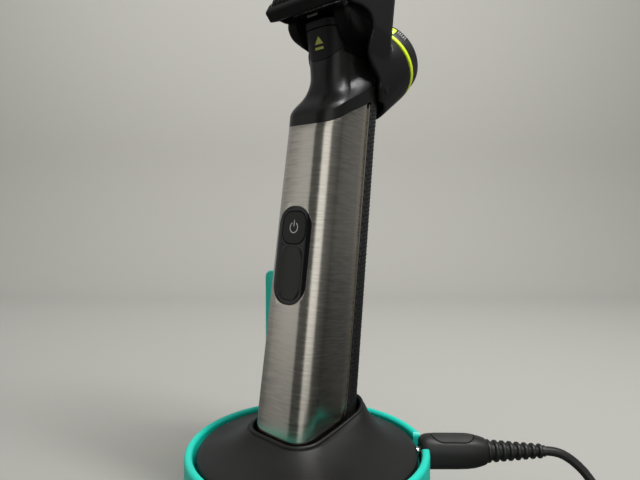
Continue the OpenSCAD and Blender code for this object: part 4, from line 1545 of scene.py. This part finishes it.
@dataclass
class Comb:
    """The length comb: its frame with two arms, its teeth and the cradle that it slides on.

    Attributes:
        half: Half of the comb's width.
        wall: Thickness of its walls.
        bar: Side outline of the front bar.
        arch: Side outline of the arms' inner edge, from the bar down to the housing.
        hood: Side outline of the hood, from the back to the bar.
        waist: How much narrower each arm stands beside the neck.
        waist_top: Heights between which the waist widens to the full width.
        back: Reach of the hood to the back.
        roof: Height of the roof's underside.
        bar_back: Depth where the front bar ends.
        bar_top: Height of the front bar's top, where the teeth start.
        mouth: Depth to which the hood is open for the teeth.
        corner: Corner radius at the back.
        house: Length of the wheel's housing.
        voxel: Size of the grid that melts the frame into one skin.
        teeth: Number of teeth.
        tooth_pitch: Distance between two teeth.
    """

    half: float = 17.4
    wall: float = 1.6
    bar: tuple[Flat, ...] = ((-26.1, 162.8), (-22.8, 160.2), (-18.4, 162.6))
    arch: tuple[Flat, ...] = (
        (-15.1, 162.9), (-9.4, 163.9), (-4.4, 163.4), (-1.4, 160), (-1.3, 155.2), (-1, 150.8), (1.6, 146.7),
        (6.4, 143.1), (10, 139.6),
    )
    hood: tuple[Flat, ...] = ((16, 182), (12, 187), (4, 186), (-8, 181), (-18, 173.4), (-24.4, 166.6))
    waist: float = 1.6
    waist_top: Flat = (150.0, 160.0)
    back: float = 16.0
    roof: float = 184.8
    bar_back: float = -20.4
    bar_top: float = 165.4
    mouth: float = 8.0
    corner: float = 8.0
    house: float = 20.0
    voxel: float = 0.42
    teeth: int = 13
    tooth_pitch: float = 2.4

    def plan(self, half: float, back: float, r: float) -> list[Flat]:
        """Outline from above, with round corners at the back."""
        x, y = half - r, back - r
        return [(-half, -FAR), (half, -FAR), *arc(x, y, r, 0, 90, 12), *arc(-x, y, r, 90, 180, 12)]

    def front_form(
        self, inset: float, low: float, high: float, front: float, back: float
    ) -> bpy.types.Object:
        """Make a block seen from the front as the comb is, with the waist beside the neck.

        Args:
            inset: How deep its sides lie under the comb's.
            low: Where it starts.
            high: Where it ends.
            front: Depth of its front.
            back: Depth of its back.

        Returns:
            The block.
        """
        slim, (start, end) = self.half - self.waist - inset, self.waist_top

        def wide(t: float) -> float:
            """Half of the width at a height."""
            return slim + self.waist * min(1.0, max(0.0, (t - start) / (end - start)))

        rows = [(t, wide(t)) for t in (low, *(t for t in self.waist_top if low < t < high), high)]
        line = [(x, t) for t, x in rows] + [(-x, t) for t, x in reversed(rows)]
        return solid_outline("front_form", line, front, back, along_y)

    def frame(self) -> None:
        """Build the frame: arms, hood, front bar and the wheel's housing.

        Each tool lies a little deeper than the one before it, because faces that fall on one another
        leave open edges. The melting takes these small steps away.
        """
        back, half, wall = self.back, self.half, self.wall
        line = [*self.bar, *smooth_line(self.arch, 5), (13, 138.4), (back, 142), *smooth_line(self.hood, 5)]
        piece = solid_outline("comb_shell", line, -half, half, along_x)
        plan = solid_outline("plan", self.plan(half, back, self.corner), UNDER, OVER, along_z)
        cut(piece, plan, "INTERSECT")
        cut(piece, self.front_form(0.0, UNDER, OVER, -60, 60), "INTERSECT")
        cut(piece, self.front_form(wall, UNDER, self.roof, self.bar_back, back - wall))
        cut(piece, self.front_form(wall, self.bar_top, OVER, -FAR, self.mouth))
        cut(piece, self.housing(), "UNION")
        cut(piece, solid_outline("room", self.plan(13.7, 17.1, 5.0), UNDER, 142, along_z))
        cut(piece, self.front_form(wall + 0.02, 141.6, 151.37, -41, 17.1))
        cut(piece, self.front_form(wall + 0.05, 151, 176.1, -20.37, back - wall - 0.04))
        cut(piece, placed(drum("top_room", 17.5, 0.0, 14, 128), WHEEL_AT))
        melt(piece, self.voxel, 10, 120000)
        cut(piece, placed(drum("bore", 3.06, -self.house - 3, 3, 48), WHEEL_AT))
        put(piece, "comb", [COMB], SHAVER_POSE, 60.0, ["comb_frame"])

    def housing(self) -> bpy.types.Object:
        """Stretch the wheel's housing round the ring's seat, the arms and a plate behind the handle.

        Returns:
            The housing as a solid.
        """
        slim = self.half - self.waist
        seat = arc(0, 0, 17.1, 0, 357, 119)
        points = [tuple(WHEEL_AT @ Vector((x, y, h))) for h in (-1.2, 0.0) for x, y in seat]
        sides = [(x, y) for x, y in self.plan(slim, self.back, self.corner) if y > 0]
        points += [(x, y, t) for t in (139.4, 150.0) for x, y in (*sides, (-slim, 8), (slim, 8))]
        points += [(x, y, 134.4) for x in (1.5 - slim, slim - 1.5) for y in (10, 13)]
        points += [(x, y, t) for y in (16.8, 18.6) for x, t in pill(26, 129.6, 152, 8)]
        piece = mesh_piece("housing", points, [])
        edit_all(piece, lambda: bpy.ops.mesh.convex_hull())
        outward(piece)
        return piece

    def tooth_row(self) -> None:
        """Build one tooth, soften it and copy it along the comb."""
        top = smooth_line([(-24.5, 163.4), (-24.6, 168), (-19.6, 175.4), (-8, 182.4), (3.8, 187)], 5)
        under = [(7.8, 184.2), (3, 183), (-8, 178.4), (-17, 171.6), (-21.6, 166.6), (-22, 163)]
        outline = list(reversed([*top, (7.8, 187), *smooth_line(under, 5)]))
        tooth = solid_outline("comb_tooth_row", outline, -0.5, 0.5, along_x)
        soften(tooth, 0.28, 2, 40.0)
        finish_modifier(
            tooth,
            "ARRAY",
            count=self.teeth,
            use_relative_offset=False,
            use_constant_offset=True,
            constant_offset_displace=(self.tooth_pitch, 0, 0),
        )
        placed(tooth, Matrix.Translation((-(self.teeth - 1) / 2 * self.tooth_pitch, 0, 0)))
        put(tooth, "comb", [COMB], SHAVER_POSE, 40.0, ["comb_teeth"])

    def cradle(self) -> None:
        """Build the cradle on the head that the comb slides on."""
        piece = box("comb_cradle_shell", (-13, 13), (9.4, 11.4), (152, 172))
        for side in (-1, 1):
            x = side * 13.1
            cut(piece, box("ear", (x - 0.6, x + 0.6), (8.9, 11.4), (152, 168)), "UNION")
        cut(piece, box("window", (-4, 4), (8, 12.4), (156, 166)))
        soften(piece, 0.4, 2)
        put(piece, "comb_mount", [COMB], SHAVER_POSE, 40.0, ["comb_cradle"])

    def build(self) -> None:
        """Build the comb's pieces."""
        self.frame()
        self.tooth_row()
        self.cradle()


@dataclass
class Head:
    """The blade carrier that widens from the neck, and the toothed blades.

    Attributes:
        rows: Height, half width front and back, and reach to the front.
        back: Reach to the back.
        steps: Rows of faces up the carrier.
        blade: Width of the blade.
        teeth: Number of teeth on the guard.
        tooth: Half widths of a tooth at its root and at its tip, as shares of the pitch.
        lip: Depth and height of the fine ribs on the front lip.
        lip_ribs: Number of these ribs.
        lip_pitch: Distance between two of them.
    """

    rows: tuple[tuple[float, float, float, float], ...] = (
        (149.9, 8.3, 8.2, 8.8), (152.0, 9.2, 8.7, 9.6), (154.4, 12.4, 9.8, 11.4), (156.8, 15.0, 11.0, 13.6),
        (159.4, 15.6, 12.0, 15.6), (161.8, 15.6, 12.4, 16.2), (162.8, 15.2, 12.4, 16.0),
    )
    back: float = 8.8
    steps: int = 26
    blade: float = 29.0
    teeth: int = 17
    tooth: Flat = (0.34, 0.14)
    # lip: Depth and height of the fine pale ribs on the front lip, a painted glint of the blade's teeth.
    lip: tuple[Flat, Flat] = ((-16.3, -15.9), (161.8, 162.6))
    lip_ribs: int = 7
    lip_pitch: float = 0.75

    def carrier(self) -> None:
        """Build the carrier, cut for the slider, the spine and the drive."""
        rings = []
        low, high = self.rows[0][0], self.rows[-1][0]
        for i in range(self.steps + 1):
            t = low + (high - low) * i / self.steps
            wf, wb, yf = stepped(self.rows, t)
            rings.append([(x, y, t) for x, y in FORM.rounded(wf, wb, yf, self.back, 2.4, 3.0, 6)])
        rings.append([(x, y, 164.2 - 0.02 * y) for x, y in FORM.rounded(15.2, 12.4, 15.2, 8.6, 2.4, 3.0, 6)])
        for h in (-2.2, -0.85):
            plate = FORM.rounded(self.blade / 2, self.blade / 2, 7.2, 7.0, 1.6, 1.6, 6)
            rings.append([tuple(BLADE_AT @ Vector((x, y, h))) for x, y in plate])
        piece = skin("carrier_shell", rings)
        cut(piece, box("slider_room", (-9.8, 9.8), (-FAR, -7.55), (140, 163.7)))
        cut(piece, box("spine_room", (-6.1, 6.1), (-8.6, 6.6), (140, 161.3)))
        fork = box("fork_room", (-4.5, 4.5), (-3.2, 3.2), (-12, 8))
        cut(piece, placed(fork, BLADE_AT @ turned("X", -20.0)))
        soften(piece, 0.3, 2, 45.0)
        # The carrier's finish holds painted shade from the comb above it.
        put(piece, "head", [CARRIER_SHADE], SHAVER_POSE, 40.0, ["blade_carrier"])

    def marks(self) -> None:
        """Raise fine pale ribs on the carrier's front lip, left of its middle: a painted glint of the
        blade's teeth.
        """
        for number in range(self.lip_ribs):
            rib = box(f"lip_glint_rib_{number + 1}", (-0.15, 0.15), *self.lip)
            placed(rib, Matrix.Translation((-3.6 + self.lip_pitch * number, 0, 0)))
            # Pale colour here is a painted glint of the blade's teeth.
            put(rib, "head", [TEETH_GLINT], SHAVER_POSE)

    def toothed(self, name: str, deep: float, low: float, high: float) -> bpy.types.Object:
        """Make a flat plate with teeth along both long edges, in the blade's plane.

        Args:
            name: The object's name.
            deep: Its depth, over the teeth.
            low: Height of its underside.
            high: Height of its top.

        Returns:
            The plate, at its place.
        """
        root, tip, pitch = deep / 2 - 2, deep / 2, self.blade / self.teeth
        foot, point = (pitch * share for share in self.tooth)
        line: list[Flat] = []
        for i in range(self.teeth):
            x = (i - (self.teeth - 1) / 2) * pitch
            line += [(x - foot, -root), (x - point, -tip), (x + point, -tip), (x + foot, -root)]
        line += [(-x, -y) for x, y in line]
        plate = solid_outline(name, line, low, high, along_z)
        soften(plate, 0.1, 1, 40.0)
        return placed(plate, BLADE_AT)

    def build(self) -> None:
        """Build the head's pieces."""
        self.carrier()
        self.marks()
        guard = self.toothed("guard_shell", 15, -0.8, 0.0)
        cut(guard, placed(box("room", (-4.5, 4.5), (-3.7, 3.7), (-3, 3)), BLADE_AT))
        put(guard, "head", [STEEL], SHAVER_POSE, 35.0, ["guard_plate"])


@dataclass
class Wheel:
    """The length wheel with its lime dial ring, on the comb's back.

    Attributes:
        radius: Radius of the knob.
        height: Height of the knob.
        ring: Thickness of the dial ring.
        bore: Radius of the knob's and the ring's bore.
        knurls: Number of fine ribs round the knob.
        knurl: Depth of the ribs.
        per: Faces across a rib.
        ticks: Number of pale ticks on the knob's side.
        tick_from: Where the first tick stands, in degrees.
        tick_step: Angle from tick to tick.
    """

    radius: float = 16.8
    height: float = 6.8
    ring: float = 2.0
    bore: float = 3.2
    knurls: int = 120
    knurl: float = 0.1
    per: int = 6
    ticks: int = 5
    tick_from: float = -39.0
    tick_step: float = 3.2

    def knob(self) -> None:
        """Build the knob with its fine ribs and its dished top."""
        low, r, bore = self.ring + 0.3, self.radius, self.bore
        high = low + self.height
        profile = [
            (bore, low, 0), (r - 0.5, low, 0), (r - 0.1, low + 0.25, 0), (r, low + 0.6, 0),
            (r, low + 1.6, 0), (r, low + 2.2, 1), (r, low + 4, 1), (r, high - 1.6, 1),
            (r - 0.35, high - 0.8, 0.8), (r - 0.9, high - 0.25, 0.4), (r - 1.6, high, 0),
            (r - 2.8, high, 0), (r - 3.3, high - 0.35, 0), (r - 4.6, high - 1.2, 0),
            (r - 6, high - 1.5, 0), (4.0, high - 1.5, 0), (bore, high - 1.5, 0), (bore, low, 0),
        ]
        count = self.knurls * self.per
        rings = []
        for radius, h, ribbed in profile:
            ring = []
            for i in range(count):
                a = 2 * math.pi * i / count
                wave = 0.5 - 0.5 * math.cos(2 * math.pi * (i % self.per) / self.per)
                reach = radius - self.knurl * ribbed * wave
                ring.append((reach * math.cos(a), reach * math.sin(a), h))
            rings.append(ring)
        piece = skin("length_knob", rings, caps=False)
        outward(piece)
        placed(piece, WHEEL_AT)
        put(piece, "wheel", [KNOB], SHAVER_POSE, 40.0, ["length_wheel"])

    def dial(self) -> None:
        """Build the lime ring with its tab."""
        r, bore = 17.15, self.bore
        low, high = 0.25, 0.25 + self.ring
        profile = [
            (bore, low), (r - 0.3, low), (r, low + 0.3), (r, high - 0.3), (r - 0.3, high), (bore, high),
        ]
        piece = turned_piece("dial_ring_shell", profile, 160)
        cut(piece, placed(box("notch", (r - 1.3, r + 2), (-0.6, 0.6), (-1, 5)), turned("Z", -52.0)))
        soften(piece, 0.12, 2)
        placed(piece, WHEEL_AT)
        put(piece, "wheel", [LIME], SHAVER_POSE, 35.0, ["dial_ring"])
        line = pill(3.0, high + 0.9, high + 4.4, 0.6, 5)
        pointer = solid_outline("dial_pointer", line, -self.radius - 0.28, -self.radius + 0.4, along_y)
        soften(pointer, 0.12, 2)
        placed(pointer, WHEEL_AT @ turned("Z", 43.0))
        put(pointer, "wheel", [LIME], SHAVER_POSE)

    def scale(self) -> None:
        """Lay the pale ticks on the knob's side."""
        top = self.ring + 0.3 + self.height
        across, up = (self.radius - 0.3, self.radius + 0.04), (top - 3.6, top - 1.6)
        for number in range(self.ticks):
            tick = box(f"scale_tick_{number + 1}", across, (-0.09, 0.09), up)
            placed(tick, WHEEL_AT @ turned("Z", self.tick_from + number * self.tick_step))
            put(tick, "wheel", [MARK], SHAVER_POSE)

    def spindle(self) -> None:
        """Build the steel spindle."""
        piece = drum("spindle", 3.0, -7.0, self.height - 2.2, 48)
        soften(piece, 0.3, 2)
        placed(piece, WHEEL_AT)
        put(piece, "wheel", [STEEL], SHAVER_POSE, 35.0, ["wheel_spindle"])

    def build(self) -> None:
        """Build the wheel's pieces."""
        self.knob()
        self.dial()
        self.scale()
        self.spindle()


# Stand and holder


@dataclass
class Stand:
    """The round charging stand with its raised lip round the handle.

    Attributes:
        radius: Radius of the stand.
        low: Height of its underside.
        edge: Height of its edge.
        wall: Thickness of the shell.
        seat: The seat's floor, along the handle's axis.
        well: Half width, half depth and corner radius of the seat.
        lip_wall: Thickness of the lip.
        lip: Height of the lip in the middle, its slope and how it curls up to the back.
        rise: How far the dome swells.
        spread: How fast the dome's rings near the lip, where 1 is evenly.
        sweep: How late the dome sweeps up to the lip, where 1 is evenly.
        sides: Faces round the dome.
    """

    radius: float = 41.6
    low: float = 4.0
    edge: float = 29.0
    wall: float = 2.0
    seat: float = -16.0
    well: Point = (15.4, 18.9, 8.8)
    lip_wall: float = 1.4
    lip: Point = (7.4, 0.2, 0.0032)
    rise: float = 2.2
    spread: float = 0.85
    sweep: float = 3.4
    sides: int = 192

    def ray(self, a: float, extra: float) -> Flat:
        """Find where a ray from the axis meets the seat's outline.

        Args:
            a: The ray's angle.
            extra: How much larger the outline is made.

        Returns:
            The point.
        """
        hw, hd, r = (v + extra for v in self.well)
        c, s = abs(math.cos(a)), abs(math.sin(a))
        x, y = hw - r, hd - r
        if hw * s <= y * c:
            k = hw / c
        elif hd * c <= x * s:
            k = hd / s
        else:
            b = c * x + s * y
            k = b + math.sqrt(b * b - x * x - y * y + r * r)
        return (k * math.cos(a), k * math.sin(a))

    def lip_ring(self, extra: float, drop: float) -> list[Point]:
        """Make a ring round the seat at the lip's height.

        Args:
            extra: How far outside the seat it lies.
            drop: How far below the lip's height, along the axis.

        Returns:
            The ring's points.
        """
        ring = []
        for i in range(self.sides):
            x, y = self.ray(2 * math.pi * i / self.sides, extra)
            high = self.lip[0] + self.lip[1] * y + self.lip[2] * (y + self.well[1]) ** 2
            ring.append(tuple(SHAVER_POSE @ Vector((x, y, high - drop))))
        return ring

    def well_ring(self, t: float, extra: float = 0.0) -> list[Point]:
        """A ring round the seat at one height along the axis."""
        flat = [self.ray(2 * math.pi * i / self.sides, extra) for i in range(self.sides)]
        return [tuple(SHAVER_POSE @ Vector((x, y, t))) for x, y in flat]

    def edge_ring(self, r: float, z: float) -> list[Point]:
        """A level ring round the stand's axis, whose points go with the seat's."""
        angles = [2 * math.pi * i / self.sides - math.radians(SHAVER_YAW) for i in range(self.sides)]
        return [(r * math.cos(a), r * math.sin(a), z) for a in angles]

    def dome_ring(self, u: float, drop: float = 0.0) -> list[Point]:
        """Make a ring of the dome between its edge and the lip.

        Args:
            u: 0 at the edge and 1 at the lip.
            drop: How far the ring lies under the dome.

        Returns:
            The ring's points.
        """
        out = []
        for far, near in zip(self.edge_ring(self.radius, self.edge), self.lip_ring(self.lip_wall, 0.0)):
            share = u**self.spread
            x, y = far[0] + (near[0] - far[0]) * share, far[1] + (near[1] - far[1]) * share
            swell = self.rise * math.sin(math.pi / 2 * u)
            out.append((x, y, self.edge + swell + (near[2] - self.edge - self.rise) * u**self.sweep - drop))
        return out

    def shell(self) -> None:
        """Build the shell: side, dome, rounded lip and the seat's well."""
        r, z = self.radius, self.edge
        rings = [self.edge_ring(r, self.low + 0.4), self.edge_ring(r, z - 1.0)]
        rings += [
            self.edge_ring(r - 0.8 * (1 - math.cos(a)), z - 1.0 + 0.8 * math.sin(a)) for a in (0.4, 0.8, 1.2)
        ]
        rings += [self.dome_ring(u) for u in (0.05, *(0.1 + 0.84 * i / 24 for i in range(25)))]
        half = self.lip_wall / 2
        rings.append(self.lip_ring(self.lip_wall, 0.9))
        turns = [math.pi * i / 8 for i in range(9)]
        rings += [self.lip_ring(half + half * math.cos(a), 0.55 - 0.55 * math.sin(a)) for a in turns]
        rings += [self.well_ring(t) for t in (2.0, -4.0, -10.0, self.seat + 0.6)]
        rings += [self.well_ring(self.seat, -0.6), self.well_ring(self.seat, -6.0)]
        dome = skin("stand_dome", rings)
        inner = r - self.wall
        cavity = skin("cavity", [
            self.edge_ring(inner, self.low - 1),
            self.edge_ring(inner, z - self.wall - 0.6),
            *(self.dome_ring(u, self.wall) for u in (0.12, 0.35, 0.6, 0.76, 0.9)),
        ])
        cut(cavity, skin("seat_tube", [self.well_ring(self.seat - 2, 1.4), self.well_ring(12.0, 1.4)]))
        cut(dome, cavity)
        block = box("block_room", (-6.15, 6.15), (-3.65, 3.65), (self.seat - 5, self.seat + 1))
        cut(dome, placed(block, SHAVER_POSE))
        inlet = Matrix.Translation((0, *PLUG_AT)) @ turned("Y", 90.0)
        cut(dome, placed(drum("hole", 2.1, r - 6, r + 4, 32), inlet))
        put(dome, "stand", [STAND], angle=32.0, stands_for=["stand_shell"])

    def build(self) -> None:
        """Build the stand's shell, its base and its contact block."""
        self.shell()
        base = drum("stand_base_plate", self.radius - self.wall - 0.15, self.low, self.low + 2, 128)
        soften(base, 0.3, 2)
        put(base, "stand", [STAND], stands_for=["stand_base"])
        block = box("contact_block_shell", (-6, 6), (-3.5, 3.5), (self.seat - 4.4, self.seat + 5))
        soften(block, 0.5, 3)
        for side in (-1, 1):
            hole = drum("hole", 0.85, self.seat - 6, self.seat + 20, 24)
            cut(block, placed(hole, Matrix.Translation((side * 3, 0, 0))))
        put(block, "stand", [SATIN], SHAVER_POSE, stands_for=["contact_block"])


@dataclass
class Holder:
    """The printed ring cup with its back plate and the notch for the plug.

    Attributes:
        radius: Outer radius.
        wall: Wall thickness.
        height: Height of the ring.
        floor: Thickness of the floor.
        plate: Width, thickness and height of the back plate.
        notch: Width and lowest height of the notch.
    """

    radius: float = 46.0
    wall: float = 3.0
    height: float = 30.0
    floor: float = 3.0
    plate: Point = (41.6, 4.0, 91.4)
    notch: Flat = (13.2, 17.8)

    def build(self) -> None:
        """Spin the cup, join the plate, cut the notch and soften what is sharp."""
        r, top = self.radius, self.height - self.wall / 2
        inner = r - self.wall
        rim = arc(r - self.wall / 2, top, self.wall / 2, 0, 180, 16)
        profile = [(0.001, -3.0), (r, -3.0), *rim, (inner, self.floor), (0.001, self.floor)]
        cup = turned_piece("holder_cup", profile, 200)
        w, thick, high = self.plate
        plate = solid_outline("plate", pill(w, -9, high, 2.5, 10), r - 1, r - 1 + thick, along_y)
        foot = box("foot", (-w / 2, w / 2), (r - 14, r - 1 + thick - 0.9), (-4, self.height - 1))
        cut(foot, drum("room", r - self.wall / 2, -5, 40, 180))
        soften(plate, 0.7, 3)
        cut(plate, foot, "UNION")
        cut(cup, plate, "UNION")
        cut(cup, box("under", (-80, 80), (-80, 80), (-20, 0)))
        cut(cup, self.notch_tool())
        soften(cup, 0.4, 3)
        put(cup, "holder", [PRINT], angle=32.0, stands_for=["holder"])

    def notch_tool(self) -> bpy.types.Object:
        """Make the notch's form, flared at the rim.

        Returns:
            The tool that cuts it.
        """
        w, low = self.notch
        x, top, r, flare = w / 2, self.height, 3.0, 2.2
        line = (
            arc(x - r, low + r, r, -90, 0, 8)
            + list(reversed(arc(x + flare, top - flare, flare, 90, 180, 8)))
            + [(x + flare, top + 8), (-x - flare, top + 8)]
            + list(reversed(arc(-x - flare, top - flare, flare, 0, 90, 8)))
            + arc(r - x, low + r, r, 180, 270, 8)
        )
        line = [(PLUG_AT[0] + a, b) for a, b in line]
        return solid_outline("notch", line, self.radius - 9, self.radius + 9, along_x)


# Plug and adapter


def node_box(name: str) -> tuple[Vector, Vector]:
    """Measure a CAD node.

    Args:
        name: The node's name.

    Returns:
        Its lowest and highest corner, in millimetres.
    """
    points = [v.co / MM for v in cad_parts[name].data.vertices]
    low, high = (Vector(end(p[i] for p in points) for i in range(3)) for end in (min, max))
    return low, high


@dataclass
class Plug:
    """The plug with its oval pad, its tip and its ribbed strain relief.

    Attributes:
        start: Where the body starts.
        end: Where the body ends.
        wide: The body's width.
        high: The body's height.
        relief_end: Where the strain relief ends.
        ribs: Number of its ribs.
        sides: Faces round the body.
        fullness: How square the body's oval is, where 2 is an ellipse.
        pad_at: Middle of the pad.
    """

    start: float = 43.4
    end: float = 69.0
    wide: float = 11.6
    high: float = 13.0
    relief_end: float = 92.0
    ribs: int = 8
    sides: int = 48
    fullness: float = 2.3
    pad_at: float = 56.0

    def ring(self, x: float, w: float, h: float) -> list[Point]:
        """Make an upright oval ring of the body.

        Args:
            x: Where it stands.
            w: Its width.
            h: Its height.

        Returns:
            The ring's points.
        """
        (y, z), power = PLUG_AT, 2 / self.fullness
        out = []
        for i in range(self.sides):
            a = 2 * math.pi * i / self.sides
            c, s = math.cos(a), math.sin(a)
            across, up = math.copysign(abs(c) ** power, c), math.copysign(abs(s) ** power, s)
            out.append((x, y + w / 2 * across, z + h / 2 * up))
        return out

    def body(self) -> None:
        """Build the body, with the hole for its tip, and its pad."""
        rows = (
            (0.0, 0.70, 0.72), (0.3, 0.80, 0.80), (1.0, 0.90, 0.90), (2.2, 0.97, 0.97), (4.0, 1.0, 1.0),
            (9.0, 1.0, 1.0), (14.0, 1.0, 1.0), (18.0, 0.99, 0.985), (21.0, 0.95, 0.93), (23.5, 0.87, 0.83),
            (25.0, 0.80, 0.75), (25.6, 0.74, 0.69),
        )
        wide, high = self.wide, self.high
        body, form = (
            skin(name, [self.ring(self.start + x, wide * w + more, high * h + more) for x, w, h in rows])
            for name, more in (("plug_shell", 0.0), ("pad_form", 0.2))
        )
        cut(body, self.pad("pad_seat", 4.3, -2.6, 1.0))
        cut(body, placed(drum("tip_hole", 1.72, 0, 4, 32), self.lay(self.start - 1)))
        soften(body, 0.15, 2)
        put(body, "lead", [LEAD], angle=40.0, stands_for=["plug_body"])
        pad = cut(self.pad("plug_pad", 4.0, -2.5, 1.0), form, "INTERSECT")
        soften(pad, 0.3, 3)
        put(pad, "lead", [RUBBER], angle=35.0, stands_for=["plug_grip"])

    def pad(self, name: str, r: float, low: float, high: float) -> bpy.types.Object:
        """Make an oval plate on top of the body.

        Args:
            name: The object's name.
            r: Half of its width.
            low: Where it starts, above the body's top.
            high: Where it ends.

        Returns:
            The plate.
        """
        line = arc(4, 0, r, -90, 90, 16) + arc(-4, 0, r, 90, 270, 16)
        line, top = [(self.pad_at + x, PLUG_AT[0] + y) for x, y in line], PLUG_AT[1] + self.high / 2
        return solid_outline(name, line, top + low, top + high, along_z)

    def lay(self, x: float) -> Matrix:
        """The place of a piece that is turned about the plug's axis, starting at x."""
        return Matrix.Translation((x, *PLUG_AT)) @ turned("Y", 90.0)

    def relief_profile(self, length: float, r0: float, r1: float, ribs: int) -> list[Flat]:
        """Draw the profile of a ribbed strain relief.

        Args:
            length: Its length.
            r0: Radius over the first rib.
            r1: Radius over the last rib.
            ribs: Number of ribs.

        Returns:
            Radius and height of each point.
        """
        step = length / ribs
        line: list[Flat] = [(1.76, 0.0)]
        for i in range(ribs):
            r = r0 + (r1 - r0) * i / (ribs - 1)
            h = i * step
            rib = ((0.75, 0.0), (0.25, 0.06), (0.0, 0.16), (0.0, 0.42), (0.25, 0.54), (0.75, 0.6))
            line += [(r - sink, h + share * step) for sink, share in rib]
        return [*line, (r1 - 0.6, length), (1.76, length)]

    def build(self) -> None:
        """Build the plug's pieces and the adapter."""
        self.body()
        profile = self.relief_profile(self.relief_end - self.end, 4.3, 2.7, self.ribs)
        relief = placed(turned_piece("relief_shell", profile, 48), self.lay(self.end))
        put(relief, "lead", [LEAD], angle=50.0, stands_for=["strain_relief"])
        self.adapter()

    def adapter(self) -> None:
        """Build the wall adapter with its relief, from the CAD pieces' own boxes."""
        low, high = node_box("adapter_body")
        line = pill(high[1] - low[1], low[2], high[2], 5.0, 10)
        middle = (low[1] + high[1]) / 2
        body = solid_outline("adapter_shell", [(middle + y, z) for y, z in line], low[0], high[0], along_x)
        soften(body, 1.6, 4)
        z = (low[2] + high[2]) / 2
        for side in (-1, 1):
            pin = Matrix.Translation((low[0], middle + side * 9.3, z)) @ turned("Y", 90.0)
            cut(body, placed(drum("room", 2.0, -1, 8, 32), pin))
        put(body, "lead", [ADAPTER], angle=35.0, stands_for=["adapter_body"])
        relief = turned_piece("adapter_relief_shell", self.relief_profile(14.0, 4.0, 2.7, 5), 40)
        placed(relief, Matrix.Translation((high[0], middle, z)) @ turned("Y", 90.0))
        put(relief, "lead", [LEAD], angle=50.0, stands_for=["adapter_relief"])


def dress_nodes() -> None:
    """Give every CAD node its finish."""
    for name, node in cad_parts.items():
        node.data.materials.clear()
        node.data.materials.append(NODE_FINISH[name].material())


def main() -> None:
    """Build the studio and every piece, in order."""
    logging.basicConfig(level=logging.INFO, format="%(message)s")
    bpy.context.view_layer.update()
    Studio().build()
    dress_nodes()
    Lead().build()
    Sleeve().build()
    Neck().build()
    Head().build()
    Comb().build()
    Wheel().build()
    Stand().build()
    Holder().build()
    Plug().build()


if __name__ == "__main__":
    main()
